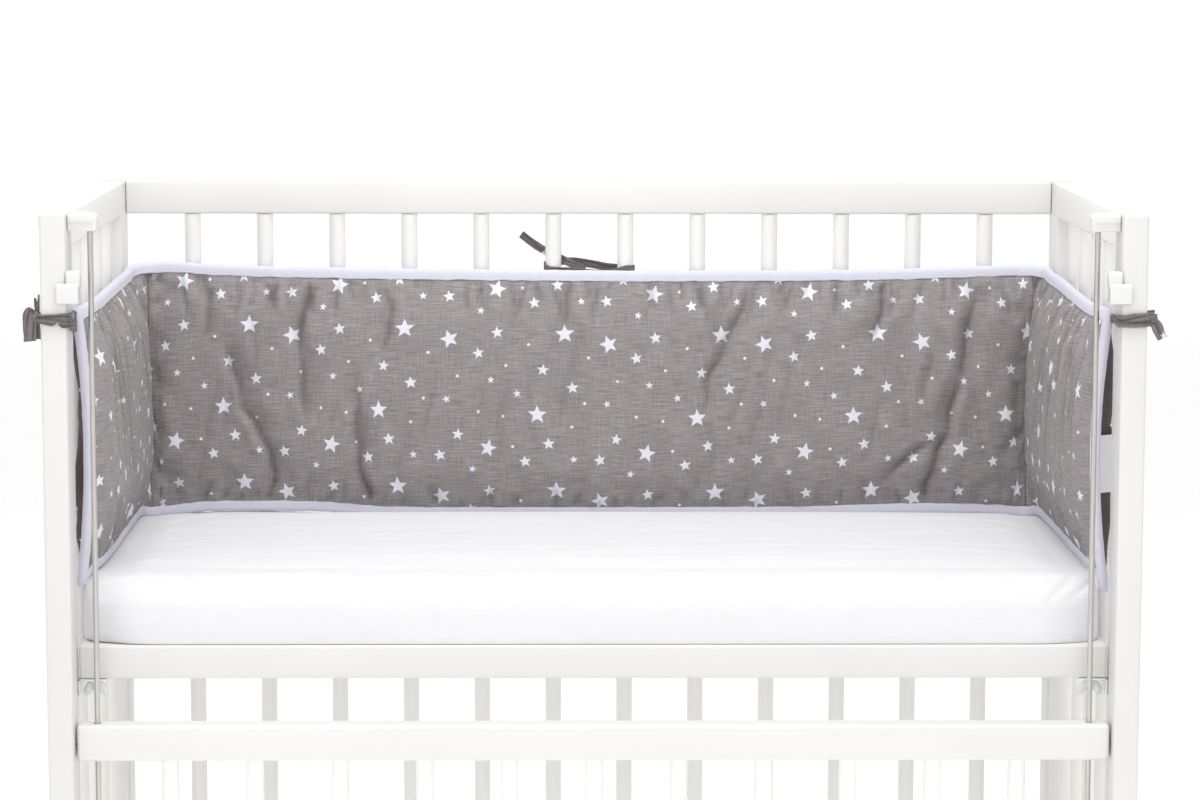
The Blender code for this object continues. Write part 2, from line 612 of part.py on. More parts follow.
def mattress_corner(number, row):
    """The corner points of one ring of the mattress, in order."""
    side_inset, front_inset = MATTRESS_RINGS[row][1:3]
    x_side, y_side, turn = ((1, -1, -90), (1, 1, 0), (-1, 1, 90), (-1, -1, 180))[number]
    front = y_side < 0
    full = MATTRESS_FRONT_CORNER if front else MATTRESS_BACK_CORNER
    radius = max(full - side_inset, 0.004)
    x = x_side * (MATTRESS_WIDTH / 2 - side_inset - radius)
    y = y_side * (MATTRESS_DEPTH / 2 - (front_inset if front else side_inset) - radius)
    points = []
    for step in range(MATTRESS_CORNER_STEPS + 1):
        angle = math.radians(turn + 90.0 * step / MATTRESS_CORNER_STEPS)
        points.append(Vector((x + radius * math.cos(angle), y + radius * math.sin(angle), 0.0)))
    return points


def mattress_ring(row):
    """Every point of one ring: its corners, and points evenly between them."""
    height, side_inset, front_inset, lift = MATTRESS_RINGS[row]
    corners = [mattress_corner(number, row) for number in range(4)]
    outline = []
    for number, corner in enumerate(corners):
        steps = MATTRESS_LONG_STEPS if number % 2 else MATTRESS_SIDE_STEPS
        start, end = corner[-1], corners[(number + 1) % 4][0]
        outline += corner
        outline += [start.lerp(end, step / steps) for step in range(1, steps)]
    for point in outline:
        x_share = min(abs(point.x) / (MATTRESS_WIDTH / 2), 1.0)
        point.z = height + lift * (1.0 - 0.7 * x_share**4)
        if point.y < 0.0:
            forward = min((1.0 - x_share) / 0.12, 1.0)
            forward = forward * forward * (3.0 - 2.0 * forward)
            point.y -= MATTRESS_BULGE * forward * max(1.0 - front_inset / 0.060, 0.0)
        else:
            full, gone = DENT_REACH
            back_inset = MATTRESS_DEPTH / 2 - point.y
            share = min(max((gone - back_inset) / (gone - full), 0.0), 1.0)
            if height > MATTRESS_HEIGHT - 0.003:
                point.z -= curve_value(MATTRESS_DENTS, 1, point.x + MATTRESS_SHIFT) * share
    return outline


def add_mattress(materials):
    """The mattress: rings of one rounded outline, from its underside up to its crown."""
    centre = Vector((MATTRESS_SHIFT, FRONT + MATTRESS_SETBACK + MATTRESS_DEPTH / 2, BASE_TOP + FIT))
    rings = [mattress_ring(row) for row in range(len(MATTRESS_RINGS))]
    around = len(rings[0])

    def place(column, row):
        return centre + rings[row][column % around]

    solid = skin_mesh(around, len(MATTRESS_RINGS) - 1, place)
    add_object("mattress", solid, materials["mattress_cover"], 50)


# ---- Bumper pad and binding -----------------------------------------------------------------------

def plan_place(along):
    """Plan position and inward direction of the pad's middle line, ALONG from its left front end."""
    mirrored = along > PAD_LENGTH / 2
    run = PAD_LENGTH - along if mirrored else along
    if run <= LEG_LENGTH:
        spot, inward = Vector((-LEG_LINE, FRONT_LINE + run, 0.0)), Vector((1.0, 0.0, 0.0))
    elif run <= LEG_LENGTH + ARC_LENGTH:
        turn = (run - LEG_LENGTH) / CORNER_RADIUS
        inward = Vector((math.cos(turn), -math.sin(turn), 0.0))
        hub = Vector((-LEG_LINE + CORNER_RADIUS, BACK_LINE - CORNER_RADIUS, 0.0))
        spot = hub - inward * CORNER_RADIUS
    else:
        x = -LEG_LINE + CORNER_RADIUS + run - LEG_LENGTH - ARC_LENGTH
        spot, inward = Vector((x, BACK_LINE, 0.0)), Vector((0.0, -1.0, 0.0))
    if mirrored:
        spot.x, inward.x = -spot.x, -inward.x
    return spot, inward


def section_value(along, column):
    """One column of the section table at a place along the pad."""
    return curve_value(SECTIONS, SECTION_COLUMNS.index(column), along)


def edge_heights(along):
    """Heights of the bumper's lower and upper edge above the mattress."""
    return section_value(along, "bottom"), section_value(along, "top")


def bumper_point(along, offset, height):
    """A point of the bumper, OFFSET inward of its middle line and HEIGHT above the mattress."""
    low, high = edge_heights(along)
    share = min(max((height - low) / (high - low), 0.0), 1.0)
    inward_low = section_value(along, "in_low")
    inward_mid = section_value(along, "in_mid")
    inward_top = section_value(along, "in_top")
    stand = (
        inward_low * (1 - share) * (1 - 2 * share)
        + inward_mid * 4 * share * (1 - share)
        + inward_top * share * (2 * share - 1)
    )
    spot, inward = plan_place(along)
    return spot + inward * (offset + stand) + Vector((0.0, 0.0, MATTRESS_TOP + height))


def fold_depth(along, height):
    """How far the main folds draw the inner cloth in at one place."""
    depth = 0.0
    for start, start_height, end, end_height, deepest, reach in FOLDS:
        run, rise = end - start, end_height - start_height
        share = ((along - start) * run + (height - start_height) * rise) / (run**2 + rise**2)
        share = min(max(share, 0.0), 1.0)
        distance = math.hypot(along - start - share * run, height - start_height - share * rise)
        depth += deepest * math.exp(-(distance / reach) ** 2)
    return depth


def crown(share):
    """How full the filling is at a share of the pad's height."""
    return (1.0 - abs(2.0 * share - 1.0) ** 2.6) ** 0.62


def swell(along, height, share, face):
    """How far one face of the pad stands beyond its bound edge."""
    value = section_value(along, face) * crown(share)
    if face == "inner":
        for corner in (LEFT_CORNER, RIGHT_CORNER):
            value *= 1.0 - 0.88 * math.exp(-((along - corner) / CREASE_WIDTH) ** 2)
        drawn_in = fold_depth(along, height) / section_value(along, face)
        value *= 1.0 - min(drawn_in, 0.8)
        value += 0.0007 * share * (1 - share) * 4 * math.sin(along * 61.0) * math.cos(along * 23.0)
    return value


def row_share(number, count):
    """Share of the pad's height at one of its rows, closer together towards the edges."""
    turn = math.cos(math.pi * number / (count + 1))
    return 0.5 - 0.5 * turn * (0.85 + 0.15 * turn**2)


def pad_section(along, full):
    """The pad's outline at one place, as (offset, height) pairs; only the tongue if not FULL."""
    low, high = edge_heights(along)
    low_shoulder, high_shoulder = low + SHOULDER, high - SHOULDER
    span = high_shoulder - low_shoulder
    edge = EDGE_HALF if full else TONGUE_HALF
    points = []
    for sign, face, count in ((1, "inner", INNER_ROWS), (-1, "outer", OUTER_ROWS)):
        half = [
            (sign * TONGUE_HALF, low + TONGUE_INSET),
            (sign * TONGUE_HALF, low_shoulder),
            (sign * edge, low_shoulder),
        ]
        for number in range(1, count + 1):
            share = row_share(number, count)
            height = low_shoulder + span * share
            extra = swell(along, height, share, face) if full else 0.0
            half.append((sign * (edge + extra), height))
        half += [
            (sign * edge, high_shoulder),
            (sign * TONGUE_HALF, high_shoulder),
            (sign * TONGUE_HALF, high - TONGUE_INSET),
        ]
        points += half if sign > 0 else half[::-1]
    return points


def pad_stations():
    """Places along the pad where it has a section: evenly on its panels, closer round the corners."""
    leg_end, arc_end = LEG_LENGTH, LEG_LENGTH + ARC_LENGTH
    legs = max(round((leg_end - SHOULDER) / STATION_PITCH), 1)
    backs = max(round(BACK_LENGTH / STATION_PITCH), 1)
    places = [SHOULDER + (leg_end - SHOULDER) * number / legs for number in range(legs)]
    places += [leg_end + ARC_LENGTH * number / CORNER_STEPS for number in range(CORNER_STEPS)]
    places += [arc_end + BACK_LENGTH * number / backs for number in range(backs + 1)]
    mirrored = [PAD_LENGTH - place for place in reversed(places[: legs + CORNER_STEPS])]
    return places + mirrored


def add_pad(materials):
    """The filled pad, with the thin tongue that the binding holds along all four edges."""
    full = pad_stations()
    ends = (TONGUE_INSET, SHOULDER)
    sections = [pad_section(place, False) for place in ends]
    places = list(ends)
    sections += [pad_section(place, True) for place in full]
    places += full
    for place in reversed(ends):
        places.append(PAD_LENGTH - place)
        sections.append(pad_section(PAD_LENGTH - place, False))
    around = len(sections[0])

    def place(column, row):
        offset, height = sections[column][row % around]
        return bumper_point(places[column], offset, height)

    solid = skin_mesh(len(sections) - 1, around, place)
    add_object("bumper_pad", solid, materials["printed_cotton"], 60)


def binding_stations():
    """The binding's closed route round the pad: (place, share of the height, inward along, up)."""
    places = pad_stations()
    shares = [row_share(number, INNER_ROWS) for number in range(1, INNER_ROWS + 1)]
    route = [(0.0, 1.0, 1, -1)]
    route += [(place, 1.0, 0, -1) for place in places]
    route.append((PAD_LENGTH, 1.0, -1, -1))
    route += [(PAD_LENGTH, share, -1, 0) for share in reversed(shares)]
    route.append((PAD_LENGTH, 0.0, -1, 1))
    route += [(place, 0.0, 0, 1) for place in reversed(places)]
    route.append((0.0, 0.0, 1, 1))
    route += [(0.0, share, 1, 0) for share in shares]
    return route


def add_binding(materials):
    """The tape folded over the pad's edges: a channel swept round all four sides."""
    route = binding_stations()
    inside_half = EDGE_HALF - TAPE
    channel = (
        (TAPE_FOLD, EDGE_HALF),
        (0.0, EDGE_HALF * 0.78),
        (0.0, -EDGE_HALF * 0.78),
        (TAPE_FOLD, -EDGE_HALF),
        (TAPE_FOLD, -inside_half),
        (TAPE + FIT, -inside_half),
        (TAPE + FIT, inside_half),
        (TAPE_FOLD, inside_half),
    )

    def place(column, row):
        start, share, along_in, up = route[column % len(route)]
        inset, offset = channel[row % len(channel)]
        along = start + along_in * inset
        low, high = edge_heights(along)
        if up:
            height = low + (high - low) * share + up * inset
        else:
            height = low + SHOULDER + (high - low - 2 * SHOULDER) * share
        return bumper_point(along, offset, height)

    solid = skin_mesh(len(route), len(channel), place)
    add_object("bumper_binding", solid, materials["binding_cotton"], 50)


def add_label(materials):
    """The bare woven tab that wraps the outer shoulder of the pad near its right front end."""
    half = LABEL_THICKNESS / 2
    near = half + FIT + 0.0002
    steps = 5
    end = PAD_LENGTH - SHOULDER

    def face_offset(along, height):
        low, high = edge_heights(along)
        share = (height - low - SHOULDER) / (high - low - 2 * SHOULDER)
        return -(EDGE_HALF + swell(along, height, share, "outer")) - near

    def place(column, row):
        height = LABEL_LOW + (LABEL_HIGH - LABEL_LOW) * column / (steps - 1)
        back = [(along, face_offset(along, height))
                for along in (end - LABEL_RETURN, end - LABEL_RETURN / 2)]
        turn, hem = (end + near, face_offset(end, height)), (end + near, -EDGE_HALF - 2 * FIT)
        outline = [(along, offset - half) for along, offset in back]
        outline += [(turn[0] + half, turn[1] - half), (hem[0] + half, hem[1])]
        outline += [(hem[0] - half, hem[1]), (turn[0] - half, turn[1] + half)]
        outline += [(along, offset + half) for along, offset in reversed(back)]
        along, offset = outline[row % len(outline)]
        return bumper_point(along, offset, height)

    solid = skin_mesh(steps - 1, 8, place)
    add_object("bumper_label", solid, materials["label_ribbon"], 50)


# ---- Ties -----------------------------------------------------------------------------------------

def band_mesh(route, half_width, level):
    """A closed flat band round a bar. Route rows: inner and outer plan point of the cloth."""
    def place(column, row):
        number = column % len(route)
        inner, outer = route[number]
        near, far = Vector(inner), Vector(outer)
        width = half_width(number)
        middle = level(number)
        plan = (near, far, far, near)[row % 4]
        drop = (-width, -width, width, width)[row % 4]
        return Vector((plan.x, plan.y, middle + drop))

    return skin_mesh(len(route), 4, place)


def rounded_route(low, high, gap, thickness, steps=3):
    """Inner and outer plan points of a band that goes round a box, with round corners."""
    x_low, y_low = low
    x_high, y_high = high
    route = []
    radius = gap + 0.0008
    for x, y, turn in (
        (x_low, y_low, 180), (x_high, y_low, 270), (x_high, y_high, 0), (x_low, y_high, 90),
    ):
        hub_x = x + (0.0008 if x == x_low else -0.0008)
        hub_y = y + (0.0008 if y == y_low else -0.0008)
        for step in range(steps + 1):
            angle = math.radians(turn + 90.0 * step / steps)
            ray = Vector((math.cos(angle), math.sin(angle)))
            route.append((
                (hub_x + ray.x * radius, hub_y + ray.y * radius),
                (hub_x + ray.x * (radius + thickness), hub_y + ray.y * (radius + thickness)),
            ))
    return route


def add_post_tie(side, side_name, materials, widths, free_ends):
    """A tie round one front post: a band, its knot on the outer side and the free ends."""
    cloth = materials["tie_cotton"]
    middle = CRIB_HEIGHT - TIE_DROP
    low_x, high_x = sorted((side * INNER, side * OUTER))
    route = rounded_route((low_x, FRONT), (high_x, FRONT + POST_DEPTH), FIT, TIE_THICKNESS)

    def outward(number):
        return min(max(side * route[number][1][0] - INNER, 0.0) / POST_WIDTH, 1.0)

    def half_width(number):
        return (widths[0] + (widths[1] - widths[0]) * outward(number)) / 2

    def level(number):
        return middle + 0.0015 * outward(number)

    tie = add_object(f"tie_{side_name}", band_mesh(route, half_width, level), cloth, 50)
    knot = bmesh.new()
    bmesh.ops.create_icosphere(knot, subdivisions=2, radius=1.0)
    bmesh.ops.scale(knot, vec=(0.0042, 0.0052, 0.0068), verts=knot.verts)
    spot = Vector((side * (OUTER + 0.0040), FRONT + 0.0060, middle + 0.0020))
    bmesh.ops.translate(knot, vec=spot, verts=knot.verts)
    combine(tie, add_object(f"knot_{side_name}_tool", knot, cloth), "UNION")
    for number, rows in enumerate(free_ends):
        route_out = []
        for out, forward, rise, across, width in rows:
            centre = spot + Vector((side * out, -forward, rise))
            route_out.append((centre, (side * across[0], across[1], across[2]), width, 0.0014))
        name = f"end_{side_name}_{number + 1}_tool"
        combine(tie, add_object(name, strip_mesh(route_out), cloth), "UNION")


KNOT_OUT = OUTER + 0.0040
END_REACH = TIE_REACH - KNOT_OUT

# Rows of a free end, from the knot outwards: out from the knot, forward, up, direction across, width.
LEFT_WIDTHS = (0.0135, 0.0080)
LEFT_FREE_ENDS = (
    (
        (0.0006, 0.0004, 0.0036, (0.1, 0.1, 1.0), 0.0050),
        (0.0045, 0.0030, 0.0058, (0.4, 0.1, 0.9), 0.0080),
        (END_REACH - 0.0068, 0.0042, 0.0020, (0.9, 0.0, 0.4), 0.0110),
        (END_REACH - 0.0064, 0.0044, -0.0060, (1.0, 0.0, 0.1), 0.0120),
        (END_REACH - 0.0062, 0.0036, -0.0140, (1.0, 0.0, 0.0), 0.0122),
        (END_REACH - 0.0066, 0.0024, -0.0195, (1.0, 0.0, -0.1), 0.0116),
    ),
    (
        (-0.0005, 0.0002, 0.0030, (1.0, 0.0, 0.0), 0.0042),
        (-0.0010, 0.0010, 0.0110, (1.0, 0.1, 0.0), 0.0038),
        (-0.0016, 0.0012, 0.0175, (1.0, 0.2, 0.0), 0.0030),
    ),
)
RIGHT_WIDTHS = (0.0112, 0.0092)
RIGHT_FREE_ENDS = (
    (
        (0.0004, 0.0002, 0.0012, (0.2, 0.1, 1.0), 0.0070),
        (0.0045, 0.0024, 0.0000, (0.5, 0.0, 0.9), 0.0082),
        (0.0080, 0.0030, -0.0052, (0.9, 0.0, 0.5), 0.0088),
        (END_REACH - 0.0042, 0.0026, -0.0110, (0.92, 0.0, 0.38), 0.0090),
        (END_REACH - 0.0036, 0.0018, -0.0165, (0.92, 0.0, 0.40), 0.0078),
    ),
    (
        (-0.0005, 0.0002, 0.0034, (1.0, 0.0, 0.0), 0.0062),
        (0.0003, 0.0012, 0.0072, (1.0, 0.1, 0.1), 0.0062),
        (0.0008, 0.0018, 0.0100, (1.0, 0.1, 0.2), 0.0056),
    ),
)
# The back tie's front strand and back strand between its two spindles: share of the way, level.
FRONT_STRAND = ((0.0, 0.0005), (0.25, 0.0000), (0.5, -0.0012), (0.75, -0.0018), (1.0, 0.0012))
BACK_STRAND = ((0.0, 0.0030), (0.25, 0.0056), (0.5, 0.0086), (0.75, 0.0096), (1.0, 0.0060))
# Rows of its free end: x, behind the middle of the spindles, level, direction across, width.
BACK_FREE_END = (
    (-0.0040, -0.0088, -0.0010, (0.20, 0.1, 1.0), 0.0060),
    (-0.0160, -0.0030, 0.0026, (0.30, 0.1, 1.0), 0.0074),
    (-0.0285, 0.0076, 0.0080, (0.35, 0.1, 1.0), 0.0078),
    (-0.0375, 0.0100, 0.0120, (0.40, 0.1, 1.0), 0.0078),
    (-0.0470, 0.0110, 0.0168, (0.50, 0.2, 1.0), 0.0080),
    (-0.0580, 0.0120, 0.0240, (0.60, 0.3, 1.0), 0.0080),
    (-0.0680, 0.0124, 0.0318, (0.70, 0.3, 1.0), 0.0076),
)


def add_back_tie(materials):
    """The tie round the two middle back spindles, with its free end behind the left one."""
    cloth = materials["tie_cotton"]
    middle = CRIB_HEIGHT - BACK_TIE_DROP
    half_pitch = BACK_SPINDLE_PITCH / 2
    line = BACK - BACK_RAIL_THICKNESS / 2
    near = SPINDLE_RADIUS + 2 * FIT
    far = near + TIE_THICKNESS
    turns = 6
    route, levels = [], []

    def add_turn(x, first_angle, first_level, last_level):
        for step in range(1, turns):
            angle = math.radians(first_angle + 180.0 * step / turns)
            ray = Vector((math.cos(angle), math.sin(angle)))
            route.append(((x + ray.x * near, line + ray.y * near), (x + ray.x * far, line + ray.y * far)))
            levels.append(first_level + (last_level - first_level) * step / turns)

    for share, level in FRONT_STRAND:
        x = -half_pitch + 2 * half_pitch * share
        route.append(((x, line - near), (x, line - far)))
        levels.append(level)
    add_turn(half_pitch, -90.0, FRONT_STRAND[-1][1], BACK_STRAND[0][1])
    for share, level in BACK_STRAND:
        x = half_pitch - 2 * half_pitch * share
        route.append(((x, line + near), (x, line + far)))
        levels.append(level)
    add_turn(-half_pitch, 90.0, BACK_STRAND[-1][1], FRONT_STRAND[0][1])
    band = band_mesh(route, lambda number: 0.0040, lambda number: middle + levels[number])
    tie = add_object("tie_back", band, cloth, 50)
    free_end = [
        (Vector((x, line + behind, middle + level)), across, width, 0.0013)
        for x, behind, level, across, width in BACK_FREE_END
    ]
    combine(tie, add_object("back_end_tool", strip_mesh(free_end), cloth), "UNION")


# ---- Build ----------------------------------------------------------------------------------------

def clear_scene():
    """Start from an empty scene."""
    for piece in list(bpy.data.objects):
        bpy.data.objects.remove(piece, do_unlink=True)


def main():
    """Build every piece of the part."""
    clear_scene()
    materials = make_materials()
    add_posts(materials)
    add_end_frames(materials)
    add_back_frame(materials)
    add_gate(materials)
    add_rods(materials)
    add_catches(materials)
    add_base(materials)
    add_mattress(materials)
    add_pad(materials)
    add_binding(materials)
    add_label(materials)
    add_post_tie(-1, "left", materials, LEFT_WIDTHS, LEFT_FREE_ENDS)
    add_post_tie(1, "right", materials, RIGHT_WIDTHS, RIGHT_FREE_ENDS)
    add_back_tie(materials)


main()
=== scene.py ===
"""Looks of a quilted crib bumper, fitted in a bedside crib with its drop gate lowered.

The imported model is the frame. Every piece here stands where its solid stands, in metres, with +Z
up, the crib's open front towards -Y and its middle at x = 0. The bumper's cloth is worked out on
its own flat plan: a distance along the pad from its left front end, and a height above the
mattress.
"""

from __future__ import annotations

import functools
import json
import logging
import math
import random
from dataclasses import dataclass
from enum import Enum
from typing import Any, Callable, Iterable, Sequence

import bmesh
import bpy
from mathutils import Matrix, Vector, noise

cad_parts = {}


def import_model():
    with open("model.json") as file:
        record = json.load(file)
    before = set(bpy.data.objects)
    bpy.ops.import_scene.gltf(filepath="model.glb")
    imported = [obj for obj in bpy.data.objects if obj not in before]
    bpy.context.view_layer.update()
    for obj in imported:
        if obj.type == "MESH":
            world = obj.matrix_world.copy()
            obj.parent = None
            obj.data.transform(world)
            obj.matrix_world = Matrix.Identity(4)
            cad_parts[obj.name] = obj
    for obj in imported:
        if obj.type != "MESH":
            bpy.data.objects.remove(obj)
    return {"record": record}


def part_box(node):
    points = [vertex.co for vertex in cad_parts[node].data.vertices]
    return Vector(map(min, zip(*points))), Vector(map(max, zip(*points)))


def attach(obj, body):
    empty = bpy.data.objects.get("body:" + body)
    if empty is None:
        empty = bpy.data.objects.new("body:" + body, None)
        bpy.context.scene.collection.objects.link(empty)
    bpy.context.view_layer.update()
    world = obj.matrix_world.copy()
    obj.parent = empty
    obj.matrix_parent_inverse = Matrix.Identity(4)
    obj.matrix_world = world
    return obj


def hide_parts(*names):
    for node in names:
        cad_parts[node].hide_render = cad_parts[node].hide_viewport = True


LOG = logging.getLogger("crib_bumper")

FIT = 0.0003                    # gap between pieces that touch
WELD = 0.00001                  # points this near to each other become one
SPINDLE_RADIUS = 0.0080
UP = Vector((0.0, 0.0, 1.0))
SHARP = 35.0                    # degrees past which an edge stays sharp

Colour = tuple[float, float, float]
Row = tuple[float, ...]
Socket = bpy.types.NodeSocket
Solid = bmesh.types.BMesh
Piece = bpy.types.Object


# ---- Named choices ----

class Side(Enum):
    """An end of the crib, as a sign of x."""

    LEFT = -1
    RIGHT = 1

    @property
    def label(self) -> str:
        """The word that node names use."""
        return self.name.lower()


class Body(Enum):
    """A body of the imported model."""

    CRIB = "crib"
    GATE = "gate"


class Axis(Enum):
    """A direction of the frame."""

    X = 0
    Y = 1
    Z = 2


class Face(Enum):
    """A face of the pad, as the sign of its offset from the middle line."""

    INNER = 1
    OUTER = -1


# ---- Node graphs ----

class Graph:
    """Adds and joins the nodes of one node tree."""

    def __init__(self, tree: bpy.types.NodeTree) -> None:
        """Work on TREE."""
        self.tree = tree

    def add(self, kind: str, **settings: Any) -> bpy.types.Node:
        """Add a node.

        Args:
            kind: Blender's name of the node's type.
            settings: properties to set on it.

        Returns:
            The new node.
        """
        node = self.tree.nodes.new(kind)
        for name, value in settings.items():
            setattr(node, name, value)
        return node

    def feed(self, socket: Socket, value: Any) -> None:
        """Link a socket to VALUE, or set it if VALUE is a number, colour or vector."""
        if isinstance(value, Socket):
            self.tree.links.new(value, socket)
        else:
            socket.default_value = (*value, 1.0) if socket.type == "RGBA" else value

    def fit(self, node: bpy.types.Node, **inputs: Any) -> bpy.types.Node:
        """Feed a node's inputs, given with _ for a space."""
        for name, value in inputs.items():
            self.feed(node.inputs[name.replace("_", " ")], value)
        return node

    def step(self, kind: str, values: Iterable[Any], output: int | str = 0,
             **settings: Any) -> Socket:
        """Add a node, feed its first inputs in order and give back one output."""
        node = self.add(kind, **settings)
        for socket, value in zip(node.inputs, values):
            self.feed(socket, value)
        return node.outputs[output]

    def math(self, operation: str, *values: Any, clamp: bool = False) -> Socket:
        """One step of arithmetic on numbers, kept between 0 and 1 if it is clamped."""
        return self.step("ShaderNodeMath", values, operation=operation, use_clamp=clamp)

    def vector(self, operation: str, *values: Any) -> Socket:
        """One step of arithmetic on vectors: a number for a length or a dot product."""
        output = "Value" if operation in ("DOT_PRODUCT", "LENGTH") else "Vector"
        return self.step("ShaderNodeVectorMath", values, output, operation=operation)

    def join(self, x: Any, y: Any, z: Any = 0.0) -> Socket:
        """A vector of three numbers."""
        return self.step("ShaderNodeCombineXYZ", (x, y, z))

    def noise(self, vector: Any, scale: Any, detail: float, flat: bool = False) -> Socket:
        """Soft noise between 0 and 1.

        Args:
            vector: where it is read.
            scale: cells per unit.
            detail: how many finer octaves it has.
            flat: whether it is read in two dimensions only.

        Returns:
            The value's socket.
        """
        node = self.add("ShaderNodeTexNoise", noise_dimensions="2D" if flat else "3D")
        return self.fit(node, Vector=vector, Scale=scale, Detail=detail).outputs[0]

    def remap(self, value: Any, low: Any, high: Any, out_low: float = 0.0, out_high: float = 1.0,
              smooth: bool = False) -> Socket:
        """Stretch LOW to HIGH over OUT_LOW to OUT_HIGH, and hold it there."""
        return self.step("ShaderNodeMapRange", (value, low, high, out_low, out_high), "Result",
                         interpolation_type="SMOOTHSTEP" if smooth else "LINEAR")

    def mix(self, share: Any, first: Any, second: Any) -> Socket:
        """A colour that goes from FIRST to SECOND as SHARE goes from 0 to 1."""
        node = self.add("ShaderNodeMix", data_type="RGBA")
        for number, value in ((0, share), (6, first), (7, second)):
            self.feed(node.inputs[number], value)
        return node.outputs[2]

    def place(self, group: bpy.types.NodeTree, **inputs: Any) -> bpy.types.Node:
        """Put a node group into the tree and feed its inputs."""
        return self.fit(self.add("ShaderNodeGroup", node_tree=group), **inputs)

    def bump(self, height: Any, distance: float, strength: float = 1.0) -> Socket:
        """A normal that shows HEIGHT as relief of DISTANCE metres."""
        node = self.add("ShaderNodeBump")
        return self.fit(node, Strength=strength, Distance=distance, Height=height).outputs[0]

    def object_place(self) -> Socket:
        """The place on the object, in metres."""
        return self.add("ShaderNodeTexCoord").outputs["Object"]

    def cloth_place(self) -> Socket:
        """The place on the flat cloth, in metres."""
        return self.add("ShaderNodeUVMap", uv_map="cloth").outputs[0]

    def mask(self, name: str) -> Socket:
        """A mask kept in the mesh's points."""
        return self.add("ShaderNodeAttribute", attribute_name=name).outputs["Fac"]

    def drawn_marks(self, along: Axis, across: float, length: float) -> bpy.types.Node:
        """Marks drawn out along one axis.

        Args:
            along: the axis.
            across: marks per metre across it.
            length: marks per metre along it.

        Returns:
            The node, with a Tone and a Height.
        """
        stretch = [across] * 3
        stretch[along.value] = length
        return self.place(brushed_group(), Vector=self.object_place(), Stretch=stretch)


def new_group(name: str, vectors: Sequence[str], numbers: Sequence[str],
              outputs: Sequence[str]) -> tuple[bpy.types.NodeTree, Graph, dict, dict]:
    """Start a shader node group.

    Args:
        name: its name.
        vectors: names of its vector inputs, which come first.
        numbers: names of its number inputs.
        outputs: names of its outputs, which are numbers.

    Returns:
        The tree, its graph, the inputs' sockets by name and the outputs' sockets by name.
    """
    tree = bpy.data.node_groups.new(name, "ShaderNodeTree")
    for in_out, names, kind in (("INPUT", vectors, "Vector"), ("INPUT", numbers, "Float"),
                                ("OUTPUT", outputs, "Float")):
        for socket_name in names:
            tree.interface.new_socket(socket_name, in_out=in_out, socket_type=f"NodeSocket{kind}")
    graph = Graph(tree)
    start = graph.add("NodeGroupInput")
    end = graph.add("NodeGroupOutput")
    return tree, graph, dict(start.outputs.items()), dict(end.inputs.items())


@functools.cache
def slub_group() -> bpy.types.NodeTree:
    """Plain weave of uneven yarn: its streaks both ways, and the relief of its threads."""
    tree, graph, given, out = new_group(
        "slub_weave", ("Vector",), ("Streak Length", "Streak Width", "Thread"), ("Tone", "Height"))
    length = graph.math("DIVIDE", 1.0, given["Streak Length"])
    width = graph.math("DIVIDE", 1.0, given["Streak Width"])
    streaks = []
    for stretch in (graph.join(length, width), graph.join(width, length)):
        spot = graph.vector("MULTIPLY", given["Vector"], stretch)
        streaks.append(graph.remap(graph.noise(spot, 1.0, 2.0, flat=True), 0.30, 0.70))
    grain = graph.noise(graph.vector("MULTIPLY", given["Vector"], graph.join(width, width)), 1.4, 1.0,
                        flat=True)
    weft = graph.math("MULTIPLY", streaks[0], 0.50)
    warp = graph.math("MULTIPLY_ADD", streaks[1], 0.26, weft)
    both = graph.math("MULTIPLY_ADD", graph.remap(grain, 0.3, 0.7), 0.24, warp)
    graph.feed(out["Tone"], both)
    turns = graph.math("DIVIDE", math.tau, given["Thread"])
    phase = graph.vector("MULTIPLY", given["Vector"], graph.join(turns, turns))
    parts = graph.add("ShaderNodeSeparateXYZ")
    graph.feed(parts.inputs[0], phase)
    across = graph.math("SINE", parts.outputs[0])
    down = graph.math("SINE", parts.outputs[1])
    threads = graph.math("MULTIPLY_ADD", graph.math("MULTIPLY", across, down), 0.5, 0.5)
    graph.feed(out["Height"], graph.math("MULTIPLY_ADD", both, 1.6, threads))
    return tree


@functools.cache
def brushed_group() -> bpy.types.NodeTree:
    """Marks drawn out along one direction, such as wood grain under paint or a drawn rod."""
    tree, graph, given, out = new_group("drawn_marks", ("Vector", "Stretch"), (), ("Tone", "Height"))
    spot = graph.vector("MULTIPLY", given["Vector"], given["Stretch"])
    graph.feed(out["Tone"], graph.noise(given["Vector"], 6.0, 2.0))
    graph.feed(out["Height"], graph.noise(spot, 1.0, 3.0))
    return tree


# ---- Star print ----

